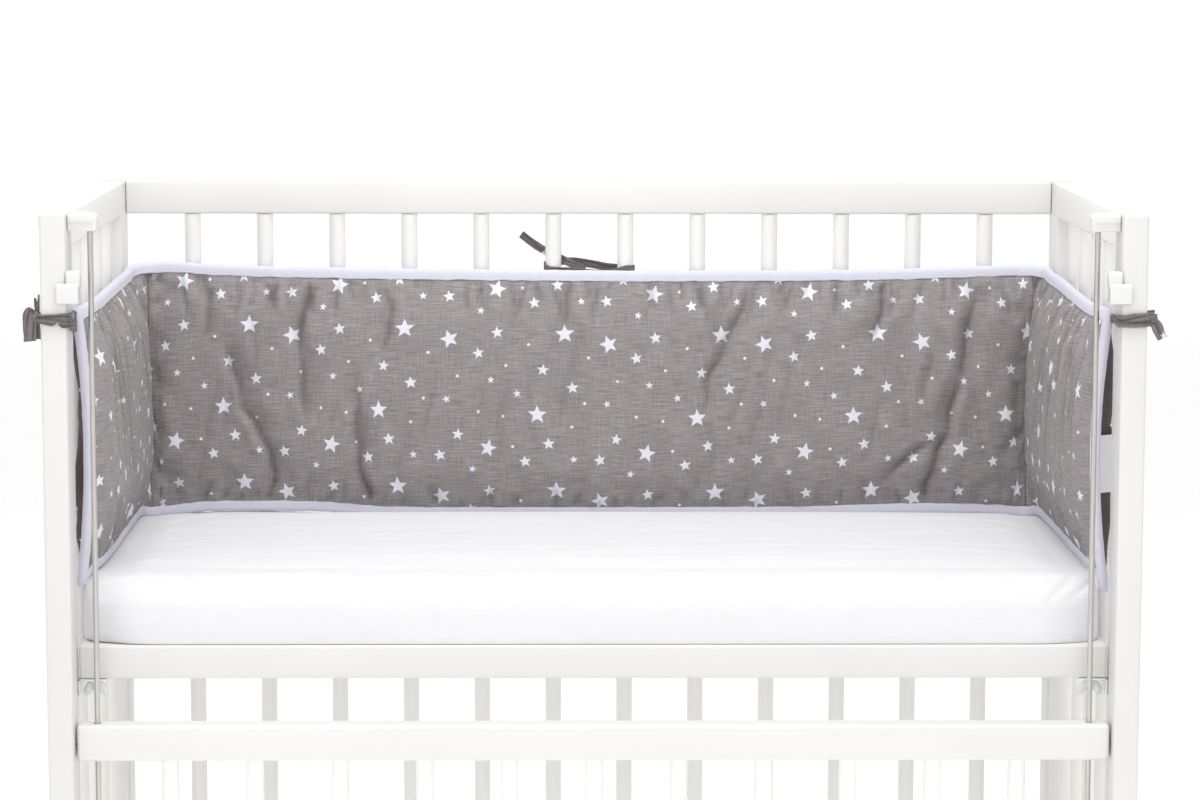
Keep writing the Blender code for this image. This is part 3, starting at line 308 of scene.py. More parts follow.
@dataclass(frozen=True)
class StarPrint:
    """A scattered star print that repeats about every 156 mm both ways.

    The chart counts millimetres of cloth, to the right and down, from the first large star.
    """

    first_star: tuple[float, float] = (-0.0237, 0.1763)
    unit: tuple[float, float] = (0.000993, 0.001003)
    repeat_right: tuple[float, float] = (155.7, 3.4)
    repeat_down: tuple[float, float] = (-7.6, 156.3)
    # Each star: right, down, tip radius and turn in degrees.
    stars: tuple[Row, ...] = (
        (0.0, 0.0, 9.6, 2.0), (42.4, 10.1, 9.4, 18.0), (130.5, 83.6, 9.2, 0.0), (81.4, 117.0, 9.4, -14.0),
        (90.3, 3.9, 6.2, 8.0), (71.5, 23.9, 6.0, 10.0), (135.8, 39.8, 6.0, -6.0), (7.3, 53.3, 6.2, 6.0),
        (51.1, 103.3, 6.0, -8.0), (140.9, 112.0, 6.2, 4.0), (33.7, 124.0, 6.2, 12.0),
        (118.7, 129.9, 6.0, 8.0),
        (84.4, 50.2, 3.9, 0.0), (40.4, 69.0, 3.9, 20.0), (111.7, 63.4, 3.9, 10.0),
        (8.4, 123.7, 3.9, 6.0), (65.4, 137.8, 3.9, -10.0),
    )
    # Each dot: right, down and radius.
    dots: tuple[Row, ...] = (
        (22.7, 23.6, 1.5), (121.5, 15.2, 1.5), (100.2, 36.2, 1.5), (51.1, 46.3, 1.5), (18.8, 68.2, 1.5),
        (71.5, 81.1, 1.5), (97.6, 85.6, 1.5), (6.7, 91.5, 1.5), (106.9, 115.3, 1.5),
    )
    waist: float = 0.44             # inner radius of a star as a share of its tips' radius
    blur: float = 0.35              # softness of a motif's edge, in chart units

    def cell(self, right: float, down: float) -> tuple[float, float]:
        """A charted place, as shares of the two repeats."""
        (ax, ay), (bx, by) = self.repeat_right, self.repeat_down
        area = ax * by - bx * ay
        return (by * right - bx * down) / area, (ax * down - ay * right) / area

    @staticmethod
    def nearest(graph: Graph, given: dict[str, Socket]) -> Socket:
        """The way from the nearest repeat of a group's Place to its Cell."""
        step = graph.vector("SUBTRACT", given["Cell"], given["Place"])
        return graph.vector("WRAP", step, (0.5, 0.5, 0.5), (-0.5, -0.5, -0.5))

    @functools.cache
    def star_group(self) -> bpy.types.NodeTree:
        """A group that gives one star's mask."""
        tree, graph, given, out = new_group(
            "print_star", ("Cell", "Place"), ("Size", "Turn"), ("Mask",))
        near = self.nearest(graph, given)
        (ax, ay), (bx, by) = self.repeat_right, self.repeat_down
        right = graph.vector("DOT_PRODUCT", near, (ax, bx, 0.0))
        down = graph.vector("DOT_PRODUCT", near, (ay, by, 0.0))
        far = graph.math("SQRT", graph.math("ADD", graph.math("MULTIPLY", right, right),
                                            graph.math("MULTIPLY", down, down)))
        angle = graph.math("ADD", graph.math("ARCTAN2", right, graph.math("MULTIPLY", down, -1.0)),
                           given["Turn"])
        tip = math.pi / 5
        folded = graph.math("ABSOLUTE", graph.math("WRAP", angle, tip, -tip))
        # The edge from a tip to the next waist point, as a line at right angles to this direction.
        waist_x, waist_y = self.waist * math.cos(tip), self.waist * math.sin(tip)
        edge = Vector((waist_y, 1.0 - waist_x)).normalized()
        lean = math.atan2(edge.y, edge.x)
        along = graph.math("MULTIPLY", far, graph.math("COSINE", graph.math("SUBTRACT", folded, lean)))
        limit = graph.math("MULTIPLY", given["Size"], edge.x)
        outside = graph.math("SUBTRACT", along, limit)
        graph.feed(out["Mask"], graph.remap(outside, -self.blur, self.blur, 1.0, 0.0, smooth=True))
        return tree

    @functools.cache
    def dot_group(self) -> bpy.types.NodeTree:
        """A group that gives one dot's mask."""
        tree, graph, given, out = new_group("print_dot", ("Cell", "Place"), ("Size",), ("Mask",))
        near = self.nearest(graph, given)
        scaled = graph.vector("MULTIPLY", near, (self.repeat_right[0], self.repeat_down[1], 0.0))
        outside = graph.math("SUBTRACT", graph.vector("LENGTH", scaled), given["Size"])
        graph.feed(out["Mask"], graph.remap(outside, -self.blur, self.blur, 1.0, 0.0, smooth=True))
        return tree

    def mask(self, graph: Graph, cloth: Socket) -> Socket:
        """Where the print is white.

        Args:
            graph: the material's graph.
            cloth: the place on the cloth, in metres.

        Returns:
            The mask's socket.
        """
        from_first = graph.vector("SUBTRACT", cloth, (*self.first_star, 0.0))
        chart = graph.vector("MULTIPLY", from_first, (1 / self.unit[0], -1 / self.unit[1], 0.0))
        (ax, ay), (bx, by) = self.repeat_right, self.repeat_down
        area = ax * by - bx * ay
        cell = graph.join(graph.vector("DOT_PRODUCT", chart, (by / area, -bx / area, 0.0)),
                          graph.vector("DOT_PRODUCT", chart, (-ay / area, ax / area, 0.0)))
        total: Any = 0.0
        for right, down, size, *turn in (*self.stars, *self.dots):
            group = self.star_group() if turn else self.dot_group()
            motif = graph.place(group, Cell=cell, Place=(*self.cell(right, down), 0.0), Size=size)
            if turn:
                graph.fit(motif, Turn=math.radians(turn[0]))
            total = graph.math("MAXIMUM", motif.outputs["Mask"], total)
        return total


# ---- Finishes ----

def new_material(name: str) -> tuple[bpy.types.Material, Graph, bpy.types.Node]:
    """Start a material.

    Args:
        name: its name.

    Returns:
        The material, its graph and its Principled shader.
    """
    material = bpy.data.materials.new(name)
    material.use_nodes = True
    return material, Graph(material.node_tree), material.node_tree.nodes["Principled BSDF"]


class Paint(Enum):
    """A scale on each part's paint colour: painted light and shade that evens out how brightly the lamps
    light the posts and base, the rails, and the bars and end rails.
    """

    POST = 0.885
    RAIL = 0.930
    BAR = 1.08


@dataclass(frozen=True)
class PaintedWood:
    """Off-white satin paint over wood whose grain runs along one axis."""

    grain: Axis
    # the painted light level that scales its colours
    paint: Paint = Paint.RAIL
    slot = "painted_wood"
    light: Colour = (0.825, 0.817, 0.800)
    shade: Colour = (0.800, 0.791, 0.771)

    def make(self) -> bpy.types.Material:
        """Build the material."""
        material, graph, shader = new_material(
            f"painted_wood_{self.grain.name.lower()}_{self.paint.name.lower()}")
        tone, height = graph.drawn_marks(self.grain, 620.0, 14.0).outputs
        # Both colours are scaled by the part's painted light level.
        shade, light = (tuple(part * self.paint.value for part in colour)
                        for colour in (self.shade, self.light))
        graph.fit(shader, Base_Color=graph.mix(graph.remap(tone, 0.35, 0.70), shade, light),
                  Roughness=graph.remap(height, 0.2, 0.8, 0.36, 0.50),
                  Normal=graph.bump(height, 0.00012, 0.5))
        return material


@dataclass(frozen=True)
class WhitePlastic:
    """Moulded white plastic of the catches, brackets and caps."""

    slot = "white_plastic"
    colour: Colour = (0.745, 0.745, 0.735)

    def make(self) -> bpy.types.Material:
        """Build the material."""
        material, graph, shader = new_material("white_plastic")
        grit = graph.noise(graph.object_place(), 900.0, 2.0)
        graph.fit(shader, Base_Color=self.colour, Roughness=graph.remap(grit, 0.2, 0.8, 0.26, 0.36),
                  Normal=graph.bump(grit, 0.00005, 0.4), Subsurface_Weight=0.05,
                  Subsurface_Radius=(0.004, 0.004, 0.003))
        return material


@dataclass(frozen=True)
class ZincSteel:
    """Drawn, zinc-plated steel of the rods, bars and nuts."""

    along: Axis
    slot = "steel"
    light: Colour = (0.66, 0.64, 0.615)
    dark: Colour = (0.47, 0.455, 0.435)
    metallic: float = 0.92

    def make(self) -> bpy.types.Material:
        """Build the material."""
        material, graph, shader = new_material(f"zinc_steel_{self.along.name.lower()}")
        tone, height = graph.drawn_marks(self.along, 2600.0, 45.0).outputs
        graph.fit(shader, Base_Color=graph.mix(graph.remap(height, 0.25, 0.75), self.dark, self.light),
                  Roughness=graph.remap(tone, 0.3, 0.7, 0.30, 0.46),
                  Normal=graph.bump(height, 0.00004, 0.4), Metallic=self.metallic)
        return material


@dataclass(frozen=True)
class StarCotton:
    """Warm grey slub cotton with the white star print, with painted shade over its creases and its outer
    face.
    """

    name: str = "star_cotton"
    slot: str = "printed_cotton"
    light: Colour = (0.374, 0.348, 0.347)
    dark: Colour = (0.213, 0.193, 0.192)
    # painted shade, laid in by the crease mask: the pad's folds, tucks and corner lines, and the ties'
    # pleats
    crease: Colour = (0.098, 0.078, 0.084)
    # painted shade over the outer face, which is the same print
    outer: Colour = (0.118, 0.100, 0.095)
    # deeper painted shade on the outer face near the front ends
    end_shade: Colour = (0.056, 0.047, 0.045)
    white: Colour = (0.80, 0.80, 0.885)
    print: StarPrint = StarPrint()

    def make(self) -> bpy.types.Material:
        """Build the material."""
        material, graph, shader = new_material(self.name)
        cloth = graph.cloth_place()
        weave = graph.place(slub_group(), Vector=cloth, Streak_Length=0.020, Streak_Width=0.0012,
                            Thread=0.0007)
        tone = graph.remap(weave.outputs["Tone"], 0.15, 0.85)
        ground = graph.mix(tone, self.dark, self.light)
        patch = graph.remap(graph.noise(cloth, 26.0, 2.0, flat=True), 0.35, 0.65, 0.0, 0.22)
        ground = graph.mix(patch, ground, self.dark)
        # Painted shade on the outer face: the outer mask is 1 over it and up to 2 near the front ends.
        outside = graph.mask("outer")
        outer = graph.mix(graph.math("SUBTRACT", outside, 1.0, clamp=True),
                          graph.mix(tone, self.outer, self.dark), self.end_shade)
        ground = graph.mix(graph.math("MINIMUM", outside, 1.0), ground, outer)
        ink = graph.mix(graph.remap(tone, 0.0, 1.0, 0.14, 0.0), self.white, self.light)
        colour = graph.mix(self.print.mask(graph, cloth), ground, ink)
        # Painted shade in the creases, from the crease mask.
        depth = graph.math("MULTIPLY", graph.mask("crease"), 0.80, clamp=True)
        graph.fit(shader, Base_Color=graph.mix(depth, colour, self.crease),
                  Roughness=graph.remap(tone, 0.0, 1.0, 0.96, 0.86),
                  Normal=graph.bump(weave.outputs["Height"], 0.00022, 0.55),
                  Sheen_Weight=0.12, Sheen_Roughness=0.6, Specular_IOR_Level=0.22)
        return material


@dataclass(frozen=True)
class PlainCotton:
    """Plain woven cotton in one colour: the binding, the mattress cover or the label."""

    name: str
    slot: str
    light: Colour
    dark: Colour
    streak: tuple[float, float]
    thread: float
    relief: float
    sheen: float = 0.10

    def make(self) -> bpy.types.Material:
        """Build the material."""
        material, graph, shader = new_material(self.name)
        cloth = graph.cloth_place()
        weave = graph.place(slub_group(), Vector=cloth, Streak_Length=self.streak[0],
                            Streak_Width=self.streak[1], Thread=self.thread)
        tone = graph.remap(weave.outputs["Tone"], 0.1, 0.9)
        graph.fit(shader, Base_Color=graph.mix(tone, self.dark, self.light),
                  Roughness=graph.remap(tone, 0.0, 1.0, 0.94, 0.84),
                  Normal=graph.bump(weave.outputs["Height"], self.relief, 0.5),
                  Sheen_Weight=self.sheen, Sheen_Roughness=0.5, Specular_IOR_Level=0.25)
        return material


@dataclass(frozen=True)
class Thread:
    """White sewing thread."""

    slot = "binding_cotton"
    colour: Colour = (0.84, 0.84, 0.90)

    def make(self) -> bpy.types.Material:
        """Build the material."""
        material, graph, shader = new_material("sewing_thread")
        twist = graph.noise(graph.object_place(), 2400.0, 1.0)
        graph.fit(shader, Base_Color=self.colour, Roughness=graph.remap(twist, 0.2, 0.8, 0.55, 0.75))
        return material


BINDING_COTTON = PlainCotton(
    "binding_cotton", "binding_cotton", (0.690, 0.688, 0.772), (0.618, 0.614, 0.718),
    (0.008, 0.0008), 0.0005, 0.00012,
)
MATTRESS_COTTON = PlainCotton(
    "mattress_cotton", "mattress_cover", (0.752, 0.753, 0.769), (0.725, 0.726, 0.748),
    (0.016, 0.0012), 0.0009, 0.00010,
)
LABEL_RIBBON = PlainCotton(
    "label_ribbon", "label_ribbon", (0.80, 0.80, 0.81), (0.74, 0.74, 0.75),
    (0.006, 0.0005), 0.0004, 0.00008, 0.2,
)
BRIGHT_ZINC = ZincSteel(Axis.Y, (0.86, 0.88, 0.88), (0.66, 0.69, 0.69), 0.35)
PRINTED_COTTON = StarCotton()
# The ties: the same star cotton drawn darker as painted shade, with a darker painted shade for their pleats.
SHADED_TIE_COTTON = StarCotton("tie_cotton", "tie_cotton", (0.250, 0.224, 0.216), (0.125, 0.106, 0.101),
                        (0.040, 0.033, 0.033))


@functools.cache
def dress(finish: Any) -> bpy.types.Material:
    """The material of a finish, made once."""
    return finish.make()


@dataclass(frozen=True)
class FloorPaper:
    """Plain white paper of the floor and its raised rim, lit from behind as on a light table."""

    colour: Colour = (0.90, 0.90, 0.90)
    glow: float = 0.31

    def make(self) -> bpy.types.Material:
        """Build the material."""
        material, graph, shader = new_material("pale_floor")
        graph.fit(shader, Base_Color=self.colour, Roughness=0.9, Emission_Color=(1.0, 1.0, 1.0),
                  Emission_Strength=self.glow)
        return material


# ---- Mesh tools ----

def shade(piece: Piece, smooth: float) -> None:
    """Shade a piece smooth, but for edges sharper than SMOOTH degrees."""
    piece.data.shade_smooth()
    piece.data.set_sharp_from_angle(angle=math.radians(smooth))


def add_piece(name: str, source: Solid, finish: Any, replaces: Sequence[str] = (),
              body: Body = Body.CRIB, smooth: float = SHARP) -> Piece:
    """Turn a bmesh into a piece of the part.

    Args:
        name: the piece's name.
        source: its mesh, in place; it is freed.
        finish: what it is made of.
        replaces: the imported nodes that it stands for.
        body: the body that it rides on.
        smooth: the angle in degrees past which an edge stays sharp.

    Returns:
        The piece.
    """
    piece = new_object(name, source)
    piece.data.materials.append(dress(finish))
    shade(piece, smooth)
    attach(piece, body.value)
    if replaces:
        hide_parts(*replaces)
    return piece


def filled_piece(name: str, cover: Solid, finish: Any,
                 steps: Sequence[Callable[[Piece], None]]) -> Piece:
    """A padded piece of the crib.

    Args:
        name: the piece's name.
        cover: its sewn cover; it is freed.
        finish: what it is made of.

    Returns:
        The piece.
    """
    piece = new_object(name, cover)
    steps[0](piece)
    subdivide(piece)
    for step in steps[1:]:
        step(piece)
    piece.data.materials.append(dress(finish))
    piece.data.shade_smooth()
    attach(piece, Body.CRIB.value)
    return piece


def box_mesh(low: Sequence[float], high: Sequence[float]) -> Solid:
    """A box between two opposite corners."""
    solid = bmesh.new()
    bmesh.ops.create_cube(solid, size=1.0)
    low, high = Vector(tuple(map(min, low, high))), Vector(tuple(map(max, low, high)))
    bmesh.ops.scale(solid, vec=high - low, verts=solid.verts)
    bmesh.ops.translate(solid, vec=(high + low) / 2, verts=solid.verts)
    return solid


def rounded_box(low: Sequence[float], high: Sequence[float], radius: float,
                segments: int = 4) -> Solid:
    """A box with all its edges rounded."""
    solid = box_mesh(low, high)
    bmesh.ops.bevel(
        solid, geom=solid.edges[:], offset=radius, offset_type="OFFSET", segments=segments,
        profile=0.5, affect="EDGES", material=-1, clamp_overlap=True,
    )
    return solid


def turned_mesh(profile: Sequence[tuple[float, float]], steps: int = 32) -> Solid:
    """A solid of revolution about Z.

    Args:
        profile: radius and height of each point, from the axis at one end to the axis at the other.
        steps: how many sides it has.

    Returns:
        The mesh.
    """
    solid = bmesh.new()
    points = [solid.verts.new((radius, 0.0, height)) for radius, height in profile]
    edges = [solid.edges.new(pair) for pair in zip(points, points[1:])]
    bmesh.ops.spin(
        solid, geom=points + edges, cent=(0, 0, 0), axis=(0, 0, 1), angle=math.tau, steps=steps,
        use_merge=True, use_duplicate=False,
    )
    bmesh.ops.remove_doubles(solid, verts=solid.verts[:], dist=WELD)
    bmesh.ops.recalc_face_normals(solid, faces=solid.faces[:])
    return solid


def grid_mesh(columns: int, rows: int, *kept: str) -> tuple[Solid, list[tuple]]:
    """A flat grid of faces, and each of its points with its column and its row.

    Args:
        columns: how many faces it has one way.
        rows: how many faces it has the other way.
        kept: names of the values that each of its points keeps.

    Returns:
        The mesh, and for each point the point, its column, its row and its kept values' layers.
    """
    solid = bmesh.new()
    bmesh.ops.create_grid(solid, x_segments=columns, y_segments=rows, size=1.0)
    for name in kept:
        solid.verts.layers.float.new(name)
    layers = [solid.verts.layers.float[name] for name in kept]
    return solid, [(vert, round((vert.co.x + 1.0) / 2.0 * columns),
                    round((vert.co.y + 1.0) / 2.0 * rows), *layers) for vert in solid.verts]


def lay_cloth(solid: Solid, place: Callable[[Any], Sequence[float]]) -> None:
    """Lay a mesh's cloth where PLACE says for each of its points."""
    cloth = solid.loops.layers.uv.new("cloth")
    for face in solid.faces:
        for loop in face.loops:
            loop[cloth].uv = place(loop.vert)


def close_mesh(solid: Solid) -> Solid:
    """Weld a mesh's seams, close its open ends and turn its faces outwards."""
    bmesh.ops.remove_doubles(solid, verts=solid.verts[:], dist=WELD)
    rim = [edge for edge in solid.edges if edge.is_boundary]
    if rim:
        bmesh.ops.holes_fill(solid, edges=rim, sides=0)
    bmesh.ops.recalc_face_normals(solid, faces=solid.faces[:])
    return solid


def move_mesh(solid: Solid, place: Sequence[float],
              turn: Matrix | None = None) -> Solid:
    """Turn a mesh about the origin, then move it to its place."""
    if turn is not None:
        bmesh.ops.rotate(solid, cent=(0, 0, 0), matrix=turn.to_3x3(), verts=solid.verts)
    bmesh.ops.translate(solid, vec=Vector(place), verts=solid.verts)
    return solid


def merged(solids: Iterable[Solid]) -> Solid:
    """One bmesh that holds several, which are freed."""
    whole = bmesh.new()
    for solid in solids:
        held = bpy.data.meshes.new("held")
        solid.to_mesh(held)
        solid.free()
        whole.from_mesh(held)
        bpy.data.meshes.remove(held)
    return whole


def bake(piece: Piece, step: bpy.types.Modifier) -> None:
    """Keep a modifier's result in the piece's own mesh."""
    shaped = bpy.data.meshes.new_from_object(piece.evaluated_get(bpy.context.evaluated_depsgraph_get()))
    piece.modifiers.remove(step)
    old, name = piece.data, piece.data.name
    piece.data = shaped
    bpy.data.meshes.remove(old)
    shaped.name = name


def new_object(name: str, source: Solid) -> Piece:
    """Put a bmesh into the scene as an object; the bmesh is freed."""
    mesh = bpy.data.meshes.new(name)
    source.to_mesh(mesh)
    source.free()
    item = bpy.data.objects.new(name, mesh)
    bpy.context.scene.collection.objects.link(item)
    return item


def cut(piece: Piece, tools: Sequence[Solid]) -> None:
    """Cut closed meshes out of a painted piece."""
    for tool in tools:
        cutter = new_object("cutter", tool)
        step = piece.modifiers.new("Cut", "BOOLEAN")
        step.operation = "DIFFERENCE"
        step.object = cutter
        bake(piece, step)
        bpy.data.objects.remove(cutter, do_unlink=True)
    shade(piece, SHARP)


def subdivide(piece: Piece) -> None:
    """Smooth a piece by one subdivision and keep the result in its mesh."""
    step = piece.modifiers.new("Subdivision", "SUBSURF")
    step.levels = step.render_levels = 1
    bake(piece, step)


def metres(*rows: Sequence[int]) -> tuple[Row, ...]:
    """A table in metres, from rows in tenths of a millimetre."""
    return tuple(tuple(number / 10000 for number in row) for row in rows)


def curve_value(rows: Sequence[Row], column: int, place: float) -> float:
    """A smooth curve through one column of a table whose first column is the place.

    Args:
        rows: the table.
        column: which column is read.
        place: where it is read.

    Returns:
        The value there; the table's ends hold past them.
    """
    last = len(rows) - 1
    if place <= rows[0][0]:
        return rows[0][column]
    if place >= rows[last][0]:
        return rows[last][column]
    index = 0
    while rows[index + 1][0] < place:
        index += 1
    before, start = rows[max(index - 1, 0)], rows[index]
    end, after = rows[index + 1], rows[min(index + 2, last)]
    span = end[0] - start[0]
    share = (place - start[0]) / span
    leave = (end[column] - before[column]) / max(end[0] - before[0], WELD) * span
    arrive = (after[column] - start[column]) / max(after[0] - start[0], WELD) * span
    return (
        (2 * share**3 - 3 * share**2 + 1) * start[column]
        + (share**3 - 2 * share**2 + share) * leave
        + (3 * share**2 - 2 * share**3) * end[column]
        + (share**3 - share**2) * arrive
    )


def rough(x: float, y: float, z: float) -> float:
    """Soft noise about 0, read at three numbers."""
    return noise.noise(Vector((x, y, z)))


def hump(away: float, reach: float) -> float:
    """1 where AWAY is 0, and a soft fall within about REACH to either side."""
    return math.exp(-((away / reach) ** 2))


def share_of(value: float) -> float:
    """A share, kept between 0 and 1."""
    return min(max(value, 0.0), 1.0)


def smooth_step(low: float, high: float, value: float) -> float:
    """0 below LOW, 1 above HIGH and a soft rise between them; it may run the other way."""
    share = share_of((value - low) / (high - low))
    return share * share * (3.0 - 2.0 * share)


@dataclass(frozen=True)
class ClothRun:
    """A short cloth simulation that fills a sewn cover."""

    pressure: float = 4.0
    stiffness: float = 15.0
    bending: float = 0.5
    slack: float = 0.0              # share by which the cloth is larger than it starts
    frames: int = 20

    def fill(self, piece: Piece, held: Callable[[int], float]) -> list[Vector]:
        """Fill the piece and give back where its points went; its own mesh stays as it was.

        Args:
            piece: a closed mesh.
            held: how firmly each point is held, from 0 to 1.

        Returns:
            Each point's new place.
        """
        group = piece.vertex_groups.new(name="held")
        for index in range(len(piece.data.vertices)):
            weight = held(index)
            if weight > 0.0:
                group.add([index], weight, "REPLACE")
        step = piece.modifiers.new("Cloth", "CLOTH")
        cloth = step.settings
        cloth.quality = 5
        cloth.mass = 0.15
        cloth.tension_stiffness = self.stiffness
        cloth.compression_stiffness = self.stiffness
        cloth.shear_stiffness = self.stiffness / 3
        cloth.bending_stiffness = self.bending
        cloth.use_pressure = True
        cloth.uniform_pressure_force = self.pressure
        cloth.effector_weights.gravity = 0.0
        cloth.vertex_group_mass = group.name
        cloth.shrink_min = -self.slack
        step.collision_settings.use_collision = False
        step.point_cache.frame_start = 1
        step.point_cache.frame_end = self.frames
        scene = bpy.context.scene
        for frame in range(1, self.frames + 1):
            scene.frame_set(frame)
        filled = piece.evaluated_get(bpy.context.evaluated_depsgraph_get())
        places = [vertex.co.copy() for vertex in filled.data.vertices]
        piece.modifiers.remove(step)
        piece.vertex_groups.remove(group)
        scene.frame_set(1)
        return places


# ---- The crib ----

@dataclass(frozen=True)
class CribPlan:
    """The crib's main planes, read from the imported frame."""

    inner: float
    outer: float
    front: float
    back: float
    height: float
    base_top: float
    mattress_height: float = 0.058
    rod_inset: float = 0.0190

    @classmethod
    def read(cls) -> CribPlan:
        """Read the planes from the back right post, the front right post and the base."""
        low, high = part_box("post_back_right")
        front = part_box("post_front_right")[0]
        return cls(low.x, high.x, front.y, high.y, high.z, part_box("mattress_base")[1].z)

    @property
    def mattress_top(self) -> float:
        """Level of the mattress along its edges."""
        return self.base_top + FIT + self.mattress_height

    def rod_x(self, side: Side) -> float:
        """Where the middle of a side's guide rod is."""
        return side.value * (self.inner - self.rod_inset)


@dataclass
class Frame:
    """Posts, rails and spindles of the crib, painted."""

    plan: CribPlan
    post_round: float = 0.0030
    rail_round: float = 0.0024
    cap_radius: float = 0.0078
    cap_proud: float = 0.0034
    cap_drop: float = 0.0100

    def build(self) -> list[Piece]:
        """Build every piece of the frame."""
        pieces = [self.post(name) for name in nodes("post_")]
        for name in nodes("end_rail_", "back_rail_"):
            low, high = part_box(name)
            grain = Axis.Y if name.startswith("end") else Axis.X
            paint = Paint.BAR if name.startswith("end") else Paint.RAIL
            solid = rounded_box(low, high, self.rail_round)
            pieces.append(add_piece(f"{name}_painted", solid, PaintedWood(grain, paint), (name,)))
        pieces += [spindle(name, Body.CRIB) for name in nodes("end_spindle_", "back_spindle_")]
        return pieces + [self.cap(side) for side in Side]

    def post(self, name: str) -> Piece:
        """One corner post with rounded edges."""
        low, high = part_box(name)
        side = 1 if low.x > 0 else -1
        low.x, high.x = side * self.plan.inner, side * self.plan.outer
        solid = rounded_box(low, high, self.post_round, 5)
        return add_piece(f"{name}_painted", solid, PaintedWood(Axis.Z, Paint.POST), (name,))

    def cap(self, side: Side) -> Piece:
        """The domed cover cap of the bolt at the top of a front post."""
        low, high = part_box(f"post_front_{side.label}")
        rim = self.cap_radius
        profile = [(0.0, -0.001), (rim, -0.001), (rim, self.cap_proud * 0.35)]
        profile += [
            (rim * math.cos(turn), self.cap_proud * (0.35 + 0.65 * math.sin(turn)))
            for turn in (math.radians(18 * step) for step in range(1, 5))
        ]
        profile.append((0.0, self.cap_proud))
        turn = Matrix.Rotation(side.value * math.pi / 2, 4, "Y")
        spot = (side.value * self.plan.outer, (low.y + high.y) / 2, high.z - self.cap_drop)
        solid = move_mesh(turned_mesh(profile), spot, turn)
        return add_piece(f"cover_cap_{side.label}", solid, WhitePlastic())


def nodes(*starts: str) -> list[str]:
    """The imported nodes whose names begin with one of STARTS, in that order."""
    names = sorted(part["node"] for part in FRAME["record"]["subparts"])
    return [name for start in starts for name in names if name.startswith(start)]


def spindle(name: str, body: Body) -> Piece:
    """One upright round bar, with a fine painted fillet where it meets each rail."""
    low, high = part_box(name)
    length = high.z - low.z
    radius, fillet = SPINDLE_RADIUS, 0.0006
    profile = [
        (0.0, 0.0), (radius + fillet, 0.0), (radius + fillet * 0.3, fillet), (radius, 2.2 * fillet),
        (radius, length - 2.2 * fillet), (radius + fillet * 0.3, length - fillet),
        (radius + fillet, length), (0.0, length),
    ]
    solid = move_mesh(turned_mesh(profile, 28), ((low.x + high.x) / 2, (low.y + high.y) / 2, low.z))
    return add_piece(f"{name}_painted", solid, PaintedWood(Axis.Z, Paint.BAR), (name,), body)


@dataclass
class DropGate:
    """The lowered gate: two bored rails and their spindles."""

    plan: CribPlan
    edge_round: float = 0.0032
    bore_radius: float = 0.0034

    def build(self) -> list[Piece]:
        """Build the gate's pieces."""
        return [*(self.rail(name) for name in ("gate_rail_top", "gate_rail_bottom")),
                *(spindle(name, Body.GATE) for name in nodes("gate_spindle_"))]

    def rail(self, name: str) -> Piece:
        """One rail, bored for the two guide rods."""
        low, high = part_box(name)
        solid = rounded_box(low, high, self.edge_round, 5)
        piece = add_piece(f"{name}_painted", solid, PaintedWood(Axis.X), (name,), Body.GATE)
        reach, radius = high.z - low.z, self.bore_radius
        bore = [(0.0, -reach), (radius, -reach), (radius, 2 * reach), (0.0, 2 * reach)]
        cut(piece, [move_mesh(turned_mesh(bore, 24),
                              (self.plan.rod_x(side), (low.y + high.y) / 2, low.z)) for side in Side])
        return piece


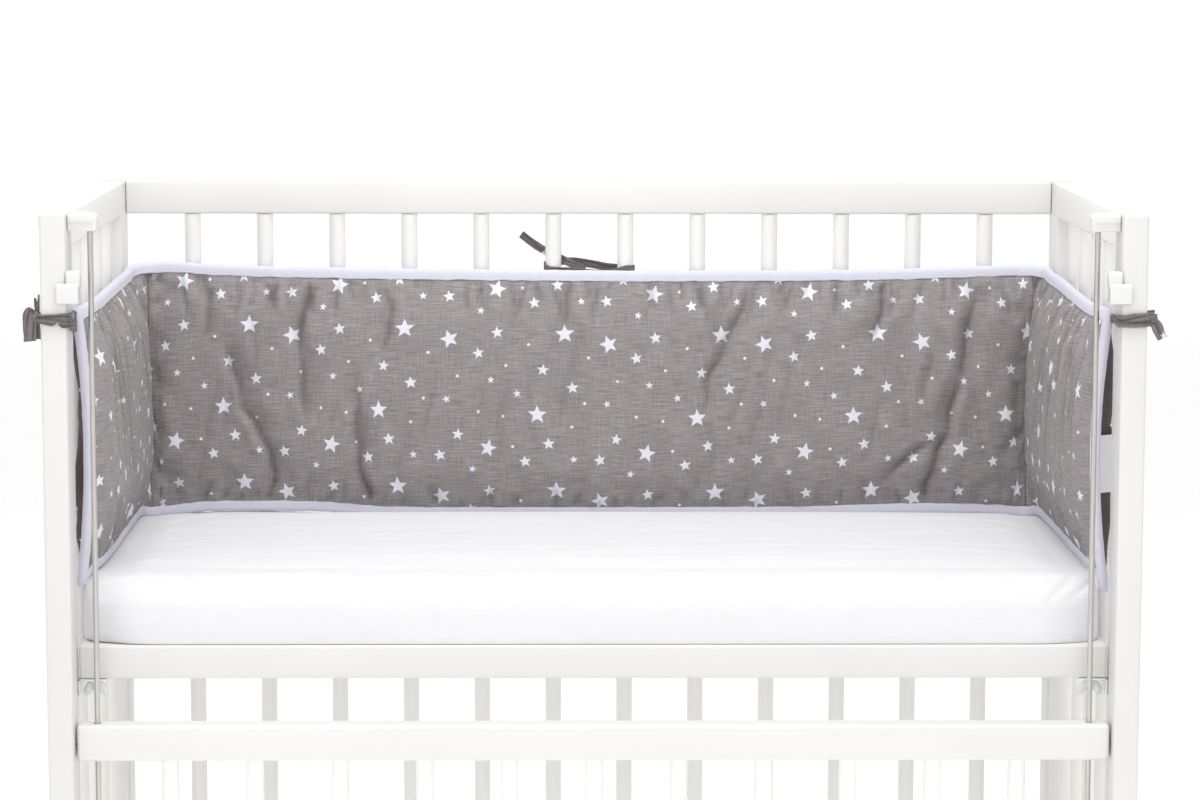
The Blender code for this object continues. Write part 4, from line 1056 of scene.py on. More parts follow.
@dataclass
class Fittings:
    """Guide rods, their brackets and feet, and the catches on the front posts."""

    plan: CribPlan
    rod_radius: float = 0.0025
    foot_height: float = 0.012
    bracket_round: float = 0.0016
    plate_height: float = 0.0085
    catch_lap: float = 0.0080
    catch_reach: float = 0.0117
    catch_body: float = 0.0175
    catch_nub: float = 0.0106

    def build(self) -> list[Piece]:
        """Build the fittings of both sides."""
        pieces = []
        for side in Side:
            pieces += [self.rod(side), self.bracket(side), self.catch(side)]
        return pieces

    def rod(self, side: Side) -> Piece:
        """The guide rod with its foot."""
        name = f"rod_{side.label}"
        low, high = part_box(name)
        foot_top = low.z + self.foot_height
        radius, tip = self.rod_radius, 0.0005
        profile = [(0.0, foot_top - 0.003), (radius, foot_top - 0.003), (radius, high.z - tip),
                   (radius - tip, high.z), (0.0, high.z)]
        rod = move_mesh(turned_mesh(profile), (self.plan.rod_x(side), (low.y + high.y) / 2, 0.0))
        foot = rounded_box(low, (high.x, high.y, foot_top), 0.0014)
        return add_piece(f"{name}_steel", merged((rod, foot)), ZincSteel(Axis.Z), (name,))

    def bracket(self, side: Side) -> Piece:
        """The plastic bracket that holds the rod's top, with a round collar at the rod."""
        name = f"rod_bracket_{side.label}"
        low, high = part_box(name)
        seam = high.z - self.plate_height
        inward = -side.value
        wall = side.value * (self.plan.inner - FIT)
        reach = high.x - low.x
        plate = rounded_box((wall, low.y, seam),
                            (wall + inward * (reach - 0.002), high.y, high.z), 0.0024, 5)
        block = rounded_box((low.x, low.y + 0.002, low.z), (high.x, high.y - 0.002, high.z - 0.002),
                            self.bracket_round)
        collar = turned_mesh(metres((0, 0), (42, 0), (46, 12), (50, 30), (0, 30)))
        collar = move_mesh(collar, (self.plan.rod_x(side), (low.y + high.y) / 2, low.z - 0.0002))
        return add_piece(f"{name}_moulded", merged((plate, block, collar)), WhitePlastic(), (name,))

    def catch(self, side: Side) -> Piece:
        """The sprung catch that laps the front of its post."""
        name = f"catch_{side.label}"
        low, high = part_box(name)
        top = high.z - self.catch_nub
        bottom = top - self.catch_body
        inner, sign = self.plan.inner, side.value
        face = self.plan.front - FIT
        wall, tip = sign * (inner - FIT), sign * (inner - self.catch_reach)
        lap = rounded_box((sign * (inner + self.catch_lap), low.y, bottom), (tip, face, top), 0.0019, 5)
        cheek = rounded_box((wall, low.y + 0.001, bottom + 0.0008), (tip, high.y, top - 0.0006), 0.0014)
        nub = rounded_box((wall, low.y + 0.003, top - 0.004),
                          (sign * (inner - self.catch_reach - 0.0008), high.y, high.z), 0.0016)
        return add_piece(f"{name}_moulded", merged((lap, cheek, nub)), WhitePlastic(), (name,))


@dataclass
class MattressBase:
    """The base under the mattress, and the angle bars with wing nuts that carry it."""

    plan: CribPlan
    edge_round: float = 0.0024
    deck: float = 0.010
    rim: float = 0.020
    bar_thickness: float = 0.0020
    bar_flange: float = 0.015
    bar_width: float = 0.026
    nut_radius: float = 0.0045
    nut_height: float = 0.008
    nut_inset: float = 0.012
    wing_length: float = 0.0125
    wing_slant: float = math.radians(28.0)

    def build(self) -> list[Piece]:
        """Build the base and its two bars."""
        low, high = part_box("mattress_base")
        solid = rounded_box(low, high, self.edge_round)
        base = add_piece("mattress_base_painted", solid, PaintedWood(Axis.X, Paint.POST),
                         ("mattress_base",))
        cut(base, [box_mesh((low.x + self.rim, low.y + self.rim, low.z - 0.02),
                            (high.x - self.rim, high.y - self.rim, high.z - self.deck))])
        return [base, *(self.bar(side, low, high) for side in Side)]

    def bar(self, side: Side, low: Vector, high: Vector) -> Piece:
        """One angle bar with its two wing nuts."""
        name = f"base_bar_{side.label}"
        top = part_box(name)[1].z
        wall = side.value * (self.plan.inner - FIT)
        parts = [
            rounded_box((wall, low.y, top - down), (edge, high.y, top), 0.0005, 2)
            for edge, down in ((side.value * (self.plan.inner - self.bar_width), self.bar_thickness),
                               (wall - side.value * self.bar_thickness, self.bar_flange))
        ]
        nut_x = side.value * (self.plan.inner - self.bar_width / 2 - 0.0015)
        for nut_y in (low.y + self.nut_inset, high.y - self.nut_inset):
            parts += self.wing_nut((nut_x, nut_y, top - self.bar_thickness))
        return add_piece(f"{name}_steel", merged(parts), BRIGHT_ZINC, (name,))

    def wing_nut(self, seat: tuple[float, float, float]) -> list[Solid]:
        """A wing nut that hangs from its seat, with the end of its bolt."""
        radius, drop = self.nut_radius, self.nut_height
        boss = turned_mesh([
            (0.0, 0.0), (radius * 1.15, 0.0), (radius * 1.15, -0.0012), (radius, -0.0016),
            (radius * 0.82, -drop), (0.0026, -drop), (0.0026, -drop - 0.0022), (0.0, -drop - 0.0022),
        ], 24)
        parts = [move_mesh(boss, seat)]
        for side in (-1, 1):
            wing = bmesh.new()
            bmesh.ops.create_uvsphere(wing, u_segments=20, v_segments=12, radius=1.0)
            bmesh.ops.scale(wing, vec=(0.0039, 0.0013, self.wing_length / 2 + 0.001), verts=wing.verts)
            spot = Vector((side * radius * 0.7, 0.0, -drop * 0.35))
            lean = Vector((side * math.sin(self.wing_slant), 0.0, -math.cos(self.wing_slant)))
            turn = Matrix.Rotation(-side * self.wing_slant, 4, "Y")
            parts.append(move_mesh(wing, Vector(seat) + spot + lean * self.wing_length / 2, turn))
        return parts


# ---- The mattress ----

@dataclass
class Mattress:
    """The foam mattress in its white cotton cover, built as rings from its foot to its middle."""

    plan: CribPlan
    width: float = 0.912
    depth: float = 0.400
    setback: float = 0.0525
    shift: float = -0.0015
    back_corner: float = 0.030
    front_corner: float = 0.018
    bulge: float = 0.0115
    corner_steps: int = 8
    long_steps: int = 96
    side_steps: int = 40
    dent_full: float = 0.0275
    dent_gone: float = 0.0395
    cap: float = 0.0016
    seam_x: float = -0.1430         # the cover's side seam on the front
    raised_x: tuple[float, float] = (-0.385, -0.450)    # where the front left corner lifts off
    raised_y: tuple[float, float] = (-0.12, -0.19)
    raised_by: float = 0.0046
    raised_back: float = 0.0026
    run: ClothRun = ClothRun(pressure=3.0, slack=0.005)
    # Each ring: height, inset from the ends and the back, inset from the front, lift in the middle.
    rings: tuple[Row, ...] = metres(
        (0, 2000, 2000, 0), (0, 1400, 1400, 0), (0, 700, 700, 0), (0, 14, 12, 0), (1, 6, 4, 0), (7, 2, 1, 0),
        (100, 0, 0, 0), (200, 0, 0, 0), (300, 0, 8, 0), (360, 2, 20, 0), (420, 6, 40, 0), (470, 9, 68, 0),
        (510, 14, 105, 0), (540, 22, 145, 0), (560, 34, 185, 0), (573, 48, 235, 0), (580, 68, 290, 0),
        (581, 150, 345, 0), (582, 220, 380, 0), (582, 270, 420, 0), (583, 330, 490, 16), (584, 400, 580, 34),
        (585, 500, 690, 48), (586, 620, 820, 58), (587, 740, 920, 63), (588, 860, 1010, 66),
        (589, 980, 1100, 68), (590, 1110, 1200, 68), (590, 1250, 1310, 68), (590, 1400, 1430, 68),
        (590, 1550, 1560, 68), (590, 1700, 1700, 68), (590, 1850, 1850, 68), (590, 2000, 2000, 68),
    )
    # Where the pad's lower edge sinks into the back: x, how deep.
    dents: tuple[Row, ...] = metres(
        (-4600, 62), (-4240, 60), (-3950, 22), (-3700, 4), (-3100, 4), (-2550, 22), (-2050, 62), (-1500, 66),
        (1500, 66), (2300, 60), (3000, 38), (3800, 36), (4100, 50), (4600, 62),
    )
    # Short folds at the front's upper edge: x, slant, depth.
    edge_folds: tuple[Row, ...] = (
        (-0.3530, 0.5, 0.0014), (-0.2120, -0.4, 0.0016), (-0.0820, 0.3, 0.0013), (-0.0110, -0.5, 0.0012),
        (0.0450, 0.4, 0.0012), (0.1700, -0.4, 0.0015), (0.2260, 0.5, 0.0013), (0.3050, 0.9, 0.0026),
        (0.3820, -0.6, 0.0016), (0.4200, 0.8, 0.0022), (0.4400, 1.1, 0.0020),
    )

    @property
    def middle(self) -> Vector:
        """Middle of the mattress on the base."""
        return Vector((self.shift, self.plan.front + self.setback + self.depth / 2,
                       self.plan.base_top + FIT))

    def build(self) -> list[Piece]:
        """Build the mattress as one padded piece."""
        piece = filled_piece("mattress_cover", self.cover(), MATTRESS_COTTON,
                             (self.fill, self.crease, self.lay_cloth))
        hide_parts("mattress")
        return [piece]

    def corner(self, number: int, row: int) -> list[Vector]:
        """The points of one corner of a ring, in plan."""
        side_inset, front_inset = self.rings[row][1:3]
        x_side, y_side, turn = ((1, -1, -90), (1, 1, 0), (-1, 1, 90), (-1, -1, 180))[number]
        front = y_side < 0
        radius = max((self.front_corner if front else self.back_corner) - side_inset, 0.0)
        x = x_side * (self.width / 2 - side_inset - radius)
        y = y_side * (self.depth / 2 - (front_inset if front else side_inset) - radius)
        turns = (math.radians(turn + 90.0 * step / self.corner_steps)
                 for step in range(self.corner_steps + 1))
        return [Vector((x, y, 0.0)) + Vector((math.cos(angle), math.sin(angle), 0.0)) * radius
                for angle in turns]

    def ring(self, row: int) -> list[Vector]:
        """Every point of one ring, from the middle of the mattress's foot."""
        height, _, front_inset, lift = self.rings[row]
        corners = [self.corner(number, row) for number in range(4)]
        outline = []
        for number, corner in enumerate(corners):
            steps = self.long_steps if number % 2 else self.side_steps
            start, end = corner[-1], corners[(number + 1) % 4][0]
            outline += corner
            outline += [start.lerp(end, step / steps) for step in range(1, steps)]
        for point in outline:
            x_share = min(abs(point.x) / (self.width / 2), 1.0)
            point.z = height + lift * (1.0 - 0.7 * x_share**4)
            if point.y < 0.0:
                forward = smooth_step(0.0, 0.12, 1.0 - x_share)
                point.y -= self.bulge * forward * max(1.0 - front_inset / 0.060, 0.0)
                raised = smooth_step(*self.raised_x, point.x) * smooth_step(*self.raised_y, point.y)
                if height > 0.0005:
                    point.z += self.raised_by * raised * max(1.0 - height / 0.040, 0.0)
                elif front_inset < 0.05:
                    point.y += self.raised_back * raised
            elif height > self.plan.mattress_height - 0.003:
                back_inset = self.depth / 2 - point.y
                share = share_of((self.dent_gone - back_inset) / (self.dent_gone - self.dent_full))
                point.z -= curve_value(self.dents, 1, point.x + self.shift) * share
        return outline

    def cover(self) -> Solid:
        """The cover's rings, closed underneath and joined along the middle of the top."""
        rings = [self.ring(row) for row in range(len(self.rings))]
        around, last = len(rings[0]), len(rings) - 1
        solid, points = grid_mesh(around, last)
        for vert, column, row in points:
            vert.co = self.middle + rings[row][column % around]
        bmesh.ops.remove_doubles(solid, verts=solid.verts[:], dist=0.0002)
        bmesh.ops.dissolve_degenerate(solid, dist=WELD, edges=solid.edges[:])
        bmesh.ops.recalc_face_normals(solid, faces=solid.faces[:])
        return solid

    def held(self, place: Vector) -> float:
        """How firmly a point of the cover is held: underneath and under the bumper."""
        low = 1.0 - smooth_step(0.004, 0.020, place.z - self.plan.base_top)
        side = smooth_step(0.405, 0.430, abs(place.x)) * smooth_step(-0.172, -0.158, place.y)
        back = smooth_step(0.140, 0.165, place.y)
        return max(low, side, back)

    def fill(self, piece: Piece) -> None:
        """Swell the cover by its filling."""
        mesh = piece.data
        places = self.run.fill(piece, lambda index: self.held(mesh.vertices[index].co))
        for vertex, place in zip(mesh.vertices, places):
            step = place - vertex.co
            if step.length > self.cap:
                step *= self.cap / step.length
            vertex.co += step

    def crease(self, piece: Piece) -> None:
        """Add the cover's soft wrinkles, the short folds of its front edge and its side seam."""
        mesh = piece.data
        normals = [Vector(item.vector) for item in mesh.vertex_normals]
        top = self.plan.mattress_top
        for vertex, normal in zip(mesh.vertices, normals):
            place = vertex.co
            free = 1.0 - self.held(place)
            long = rough(place.x * 5.0 + place.y * 3.0, place.y * 38.0, 3.7)
            slant = rough(place.x * 15.0 - place.y * 14.0, place.y * 66.0, 9.1)
            rise = 0.0014 * (0.45 - abs(long)) + 0.0008 * slant
            if place.y < -0.13:
                rise += self.edge_rise(place, top)
            if place.y < -0.16 and place.z < top - 0.006:
                rise -= 0.0010 * hump(place.x - self.seam_x, 0.0022)
                rise += 0.0008 * hump(place.x - self.seam_x - 0.007, 0.0045)
            vertex.co += normal * rise * free

    def edge_rise(self, place: Vector, top: float) -> float:
        """Height of the small folds where the top turns over to the front."""
        near = hump(place.z - top + 0.006, 0.014) * smooth_step(-0.135, -0.165, place.y)
        rise = 0.0012 * near * rough(place.x * 30.0, place.z * 34.0 + place.y * 20.0, 1.3)
        for x, slant, deep in self.edge_folds:
            away = place.x - x - slant * (place.z - top + 0.010) - slant * 0.4 * (place.y + 0.175)
            if abs(away) < 0.02:
                rise -= deep * near * (hump(away, 0.0032) - 0.4 * hump(abs(away) - 0.0065, 0.004))
        return rise

    def lay_cloth(self, piece: Piece) -> None:
        """Lay the cover's UV map: from above on top, and round the sides below."""
        mesh = piece.data
        layer = mesh.uv_layers.new(name="cloth")
        for face in mesh.polygons:
            x, y, z = map(abs, face.normal)
            for loop in face.loop_indices:
                place = mesh.vertices[mesh.loops[loop].vertex_index].co
                layer.data[loop].uv = place.xy if z > 0.6 else place.xz if y > x else place.yz


# ---- Form of the bumper ----

@dataclass(frozen=True)
class PadForm:
    """Where the bumper's cloth runs in the crib."""

    mattress_top: float
    crib_front: float = -0.2350
    leg_line: float = 0.4540        # middle line of the end panels, at their top edge
    back_line: float = 0.2117
    front_line: float = -0.1847
    corner_radius: float = 0.0300
    round_end: float = 0.0110       # rounding of the pad's four free corners
    edge_half: float = 0.0040       # half of the bound edge's thickness
    tape: float = 0.0011
    tape_fold: float = 0.0105
    crease_width: float = 0.0085
    tuck_size: tuple[tuple[float, float], ...] = ((0.0070, 0.015), (0.0095, 0.021))

    @property
    def leg(self) -> float:
        """Length of an end panel."""
        return self.back_line - self.corner_radius - self.front_line

    @property
    def arc(self) -> float:
        """Length of a corner's bend."""
        return math.pi / 2 * self.corner_radius

    @property
    def length(self) -> float:
        """Length of the pad's middle line."""
        return 2 * self.leg + 2 * self.arc + 2 * (self.leg_line - self.corner_radius)

    @property
    def corners(self) -> tuple[float, float]:
        """Where along the pad its two corner creases are."""
        return self.leg + self.arc / 2, self.length - self.leg - self.arc / 2

    def on_left(self, depth: float) -> float:
        """Distance along the pad of a place on the left end panel, DEPTH behind the crib's front."""
        return self.crib_front + depth - self.front_line

    def on_back(self, x: float) -> float:
        """Distance along the pad of a place on the back panel."""
        return self.leg + self.arc + x + self.leg_line - self.corner_radius

    def on_right(self, depth: float) -> float:
        """Distance along the pad of a place on the right end panel, DEPTH behind the front."""
        return self.length - self.on_left(depth)

    def placed(self, table: dict[str, Sequence[Sequence[int]]], places: Sequence[int] = (0,),
               unit: int = 10000) -> tuple[Row, ...]:
        """A table whose rows stand at places along the pad.

        Args:
            table: the rows of each panel; a place is a depth behind the crib's front, or x on the
                back panel, in tenths of a millimetre.
            places: the columns that hold places.
            unit: what the other columns are divided by.

        Returns:
            The rows, with distances along the pad for places.
        """
        find = {"left": self.on_left, "left corner": lambda _: self.corners[0],
                "back": self.on_back, "right corner": lambda _: self.corners[1],
                "right": self.on_right}
        return tuple(
            tuple(find[panel](number / 10000) if column in places else number / unit
                  for column, number in enumerate(row))
            for panel, rows in table.items() for row in rows
        )

    @functools.cached_property
    def sections(self) -> tuple[Row, ...]:
        """A row for each measured section: place, top, bottom, then how far the middle line stands
        inward at its top, middle and bottom, then the swell of the inner and the outer face."""
        return self.placed({
            "left": (
                (503, 2415, -105, -52, 44, -46, 10, 65), (640, 2418, -62, -42, 42, -34, 34, 95),
                (740, 2420, -14, -34, 40, -6, 62, 92), (860, 2424, 6, -20, 36, 26, 88, 70),
                (1120, 2428, 8, 4, 30, 60, 118, 20), (1800, 2422, 8, 4, 30, 78, 128, 18),
                (2800, 2438, 8, 4, 34, 78, 132, 18), (3600, 2448, 8, 4, 34, 78, 128, 18),
                (4000, 2452, 5, 4, 26, 85, 125, 18),
            ),
            "left corner": ((0, 2490, -42, 6, 30, 115, 110, 12),),
            "back": (
                (-4080, 2498, -24, 4, 26, 92, 120, 18), (-3850, 2478, 2, 4, 24, 80, 122, 18),
                (-3300, 2456, 8, 4, 24, 80, 124, 18), (-2600, 2442, -2, 4, 24, 80, 124, 18),
                (-2000, 2431, -50, 4, 24, 80, 124, 18), (-900, 2421, -56, 4, 24, 80, 122, 18),
                (300, 2411, -56, 4, 24, 80, 122, 18), (1200, 2412, -56, 4, 24, 80, 124, 18),
                (2100, 2417, -50, 4, 24, 80, 126, 18), (3100, 2433, -22, 4, 24, 80, 126, 18),
                (3850, 2458, -22, 4, 24, 80, 124, 18), (4080, 2466, -34, 4, 26, 92, 120, 18),
            ),
            "right corner": ((0, 2472, -42, 6, 30, 105, 110, 12),),
            "right": (
                (4000, 2446, 5, 4, 26, 65, 125, 18), (3250, 2441, 8, 4, 30, 45, 130, 18),
                (2400, 2418, 8, 4, 30, 36, 130, 18), (1450, 2400, 8, 4, 36, 34, 122, 36),
                (1120, 2408, 6, 2, 46, 24, 112, 72), (860, 2416, 2, -18, 58, 12, 80, 140),
                (740, 2416, -36, -28, 64, -20, 56, 164), (640, 2416, -112, -36, 65, -38, 30, 170),
                (503, 2410, -165, -44, 66, -44, 10, 150),
            ),
        })

    @functools.cached_property
    def lobes(self) -> tuple[Row, ...]:
        """Where the outer cloth bellies out near the left front end: place, height, how far."""
        return self.placed({
            "left": ((700, 2080, 50), (700, 1660, -30), (700, 830, 40), (700, 360, 50)),
        })

    @functools.cached_property
    def folds(self) -> tuple[Row, ...]:
        """A row for each main fold of the inner cloth: its upper end and its lower end, each as a
        place along the pad and a height, then its depth and its reach to each side."""
        return self.placed({
            "back": (
                (-3720, 2280, -3800, 1720, 34, 100), (-3570, 1680, -3410, 1040, 44, 120),
                (-3430, 1100, -3200, 710, 50, 100), (-3220, 760, -3110, 400, 52, 90),
                (-3110, 450, -3180, 120, 42, 80), (-2780, 2300, -2880, 1600, 52, 100),
                (-2880, 1680, -2800, 920, 38, 110), (-2320, 1040, -2290, 500, 30, 90),
                (-2290, 580, -2190, 120, 50, 90), (-2020, 2240, -1950, 1980, 24, 80),
                (-1940, 2040, -2050, 1600, 32, 90), (-1080, 2260, -1090, 2050, 25, 90),
                (-230, 2310, -240, 1820, 30, 100), (1580, 2240, 1360, 1700, 38, 110),
                (1380, 1780, 1170, 1310, 36, 120), (1180, 1380, 1140, 980, 24, 120),
                (1260, 2080, 1200, 1660, 18, 80), (2940, 2300, 2810, 1700, 50, 110),
                (3840, 2250, 3640, 1310, 45, 120), (3640, 1330, 3530, 770, 55, 110),
                (3530, 830, 3420, 500, 50, 100), (3420, 560, 3330, 130, 50, 110),
                (3390, 1640, 3280, 1040, 22, 100), (3490, 820, 3000, 440, 24, 80),
                (3300, 700, 2880, 280, 20, 70),
            ),
            "left": (
                (1100, 2250, 1500, 1650, 30, 130), (2000, 2280, 2300, 1500, 35, 130),
                (3000, 2260, 3100, 900, 35, 140), (1200, 600, 1500, 150, 30, 130),
            ),
            "right": (
                (1100, 2240, 1400, 1600, 35, 130), (1900, 2240, 2100, 1500, 35, 120),
                (2800, 2260, 2900, 1200, 35, 130), (1600, 700, 1900, 160, 30, 130),
            ),
        }, (0, 2))

    @functools.cached_property
    def drift(self) -> tuple[Row, ...]:
        """How far the print has moved with the cloth, in millimetres: place, to the right near the
        lower edge, at mid height and near the upper edge, then downwards."""
        return self.placed({
            "left": (
                (500, -60, -60, -60, -10), (4000, -40, -50, -40, -35),
            ),
            "back": (
                (-4200, -22, -37, -17, -43), (-3500, -18, -40, -26, -50), (-2800, -27, -42, -28, -46),
                (-2100, -48, -70, -36, -48), (-1400, -32, -40, -17, -41), (-700, -31, -40, -17, -37),
                (0, 0, -2, -5, -23), (700, 0, -2, -7, -22), (1400, 24, 6, -8, -50), (2100, 30, 8, -14, -77),
                (2800, 28, 16, -10, -100), (3500, 24, 28, 3, -126), (4200, -30, -20, -16, -146),
            ),
            "right": (
                (4000, 90, 90, 90, -152), (500, 110, 110, 110, -155),
            ),
        }, unit=10)

    def cloth_place(self, along: float, height: float) -> tuple[float, float]:
        """Where a place of the pad is on the printed cloth, in metres."""
        low, middle, high = (curve_value(self.drift, column, along) for column in (1, 2, 3))
        if height < 0.13:
            moved = low + (middle - low) * share_of((height - 0.03) / 0.10)
        else:
            moved = middle + (high - middle) * min((height - 0.13) / 0.09, 1.0)
        down = curve_value(self.drift, 4, along)
        return along - self.on_back(0.0) - moved / 1000.0, height + down / 1000.0

    @functools.cached_property
    def gathers(self) -> tuple[Row, ...]:
        """The small folds, in the same columns as the main ones: puckers along both bound edges, and
        longer gathers that fan out on the end panels."""
        draw = random.Random(11)
        rows = []
        for upper, gap, shortest, longest in (
                (True, 0.0125, 0.010, 0.048), (False, 0.016, 0.008, 0.030)):
            place = 0.02
            while place < self.length - 0.02:
                low, high = self.edges(place)
                leg = min(place, self.length - place) < self.leg
                long = draw.uniform(shortest, longest) * (1.25 if leg else 1.0)
                lean = draw.uniform(-0.45, 0.45) * long
                start = high - self.tape_fold + 0.002 if upper else low + self.tape_fold - 0.002
                end = start - long if upper else start + long
                deep = draw.uniform(0.0008, 0.0027) * (1.2 if leg else 1.0)
                rows.append((place, start, place + lean, end, deep, draw.uniform(0.0035, 0.0065)))
                place += gap * draw.uniform(0.45, 1.7)
        for number in range(30):
            from_front = draw.uniform(0.03, self.leg - 0.02)
            mirrored = number % 2 == 1
            long = draw.uniform(0.06, 0.15)
            lean = long * (0.15 + 0.5 * from_front / self.leg)
            top = self.edges(from_front)[1] - draw.uniform(0.012, 0.060)
            start, end = from_front, from_front + lean
            if mirrored:
                start, end = self.length - start, self.length - end
            rows.append((start, top, end, top - long, draw.uniform(0.0014, 0.0028), 0.0075))
        for _ in range(26):
            x = draw.uniform(-0.40, 0.40)
            top = draw.uniform(0.09, 0.215)
            long = draw.uniform(0.04, 0.10)
            lean = draw.uniform(-0.30, 0.20) * long
            rows.append((self.on_back(x), top, self.on_back(x) + lean, top - long,
                         draw.uniform(0.0007, 0.0016), draw.uniform(0.006, 0.010)))
        return tuple(rows)

    def section(self, column: int, along: float) -> float:
        """One column of the section table at a place along the pad."""
        return curve_value(self.sections, column, along)

    def edges(self, along: float) -> tuple[float, float]:
        """Heights of the bumper's lower and upper edge."""
        return self.section(2, along), self.section(1, along)

    def plan_place(self, along: float) -> tuple[Vector, Vector]:
        """Plan position and inward direction of the middle line at a place along the pad."""
        mirrored = along > self.length / 2
        run = self.length - along if mirrored else along
        if run <= self.leg:
            spot, inward = Vector((-self.leg_line, self.front_line + run, 0.0)), Vector((1.0, 0.0, 0.0))
        elif run <= self.leg + self.arc:
            turn = (run - self.leg) / self.corner_radius
            inward = Vector((math.cos(turn), -math.sin(turn), 0.0))
            hub = Vector((-self.leg_line + self.corner_radius,
                          self.back_line - self.corner_radius, 0.0))
            spot = hub - inward * self.corner_radius
        else:
            x = -self.leg_line + self.corner_radius + run - self.leg - self.arc
            spot, inward = Vector((x, self.back_line, 0.0)), Vector((0.0, -1.0, 0.0))
        if mirrored:
            spot.x, inward.x = -spot.x, -inward.x
        return spot, inward

    def rounded(self, along: float, height: float) -> tuple[float, float]:
        """A place on the flat cloth, drawn in near the pad's four free corners to round them."""
        low, high = self.edges(along)
        from_end = min(along, self.length - along)
        from_edge = min(height - low, high - height)
        radius = self.round_end
        if from_end >= radius or from_edge >= radius:
            return along, height
        out_along, out_up = 1.0 - from_end / radius, 1.0 - from_edge / radius
        far = math.hypot(out_along, out_up)
        if far < WELD:
            return along, height
        shrink = max(out_along, out_up) / far
        new_end = radius * (1.0 - out_along * shrink)
        new_edge = radius * (1.0 - out_up * shrink)
        new_along = new_end if along < self.length / 2 else self.length - new_end
        new_height = low + new_edge if height - low < high - height else high - new_edge
        return new_along, new_height

    def point(self, along: float, offset: float, height: float) -> Vector:
        """A point of the bumper.

        Args:
            along: distance along the pad.
            offset: distance inward of the middle line.
            height: height above the mattress.

        Returns:
            The point in the frame.
        """
        along, height = self.rounded(along, height)
        low, high = self.edges(along)
        share = share_of((height - low) / (high - low))
        stand = (
            self.section(5, along) * (1 - share) * (1 - 2 * share)
            + self.section(4, along) * 4 * share * (1 - share)
            + self.section(3, along) * share * (2 * share - 1)
        )
        spot, inward = self.plan_place(along)
        return spot + inward * (offset + stand) + Vector((0.0, 0.0, self.mattress_top + height))

    @functools.cached_property
    def folds_by_place(self) -> dict[int, list[Row]]:
        """Every fold, main and small, listed under each centimetre of the pad that it reaches."""
        listed: dict[int, list[Row]] = {}
        for row in (*self.folds, *self.gathers):
            start, end, reach = row[0], row[2], 4 * row[5]
            for centimetre in range(math.floor((min(start, end) - reach) * 100),
                                    math.ceil((max(start, end) + reach) * 100) + 1):
                listed.setdefault(centimetre, []).append(row)
        return listed

    def fold_depth(self, along: float, height: float) -> tuple[float, float]:
        """How far the folds draw the inner cloth in at one place.

        Args:
            along: distance along the pad.
            height: height above the mattress.

        Returns:
            The depth, with the ridges beside each trough, and the trough's painted shade, from 0 to 1.
        """
        depth = dark = 0.0
        for start, start_height, end, end_height, deepest, reach in self.folds_by_place.get(
                math.floor(along * 100), ()):
            run, rise = end - start, end_height - start_height
            share = ((along - start) * run + (height - start_height) * rise) / (run**2 + rise**2)
            share = min(max(share, -0.12), 1.12)
            aside = along - start - share * run + 0.14 * reach * math.sin(share * 7.0 + start * 40.0)
            distance = math.hypot(aside, height - start_height - share * rise)
            if distance > 4 * reach:
                continue
            steep = 0.60 if aside * math.sin(start * 900.0) > 0.0 else 1.25
            away = distance / (reach * steep)
            fade = max(1.0 - 0.85 * abs(2 * share - 1) ** 3, 0.0)
            trough = 0.55 * math.exp(-away * away) + 0.45 * math.exp(-away / 0.24)
            ridge = 0.32 * math.exp(-((away - 1.5) ** 2))
            depth += deepest * fade * (trough - ridge)
            # Painted shade along the trough.
            dark += deepest / 0.0050 * fade * (0.70 * hump(distance, 0.0026)
                                               + 0.30 * math.exp(-(away * 1.6) ** 2))
        return depth, min(dark, 1.0)

    def sway(self, along: float, height: float) -> float:
        """How far the nearer corner crease runs from the middle of its corner at one height."""
        low, high = self.edges(along)
        share = share_of((height - low) / (high - low))
        if along < self.length / 2:
            return 0.0080 * share**1.4
        return -0.006 * (4 * share * (1 - share) - 0.5) - 0.0025 + 0.0045 * share**5

    def from_corner(self, along: float, height: float) -> float:
        """Distance along the cloth to the nearer corner crease."""
        return min((along - corner for corner in self.corners), key=abs) - self.sway(along, height)

    def crease(self, along: float, height: float) -> float:
        """How far the inner face is drawn in by the corner creases, from 0 to 1."""
        return math.exp(-abs(self.from_corner(along, height)) / self.crease_width)

    def tuck(self, along: float, height: float) -> tuple[float, float]:
        """The fan of small tucks at the top of each corner crease.

        Args:
            along: distance along the pad.
            height: height above the mattress.

        Returns:
            How far the tucks draw the cloth in, and their painted shade, from 0 to 1.
        """
        wide, tall = self.tuck_size[along > self.length / 2]
        down = (self.edges(along)[1] - self.tape_fold - height) / tall
        aside = self.from_corner(along, height) / wide
        if not 0.0 <= down < 1.0 or abs(aside) > 1.0 - down:
            return 0.0, 0.0
        groove = 0.5 + 0.5 * math.cos(aside / (1.15 - down) * 11.0)
        soft = min((1.0 - down - abs(aside)) * 5.0, 1.0)
        # The second value is the tucks' painted shade.
        return 0.0012 * groove * soft, (0.60 + 0.60 * groove) * soft


def crown(share: float) -> float:
    """How full the filling is at a share of the pad's height."""
    return (1.0 - abs(2.0 * share_of(share) - 1.0) ** 2.6) ** 0.62


# ---- The pad ----

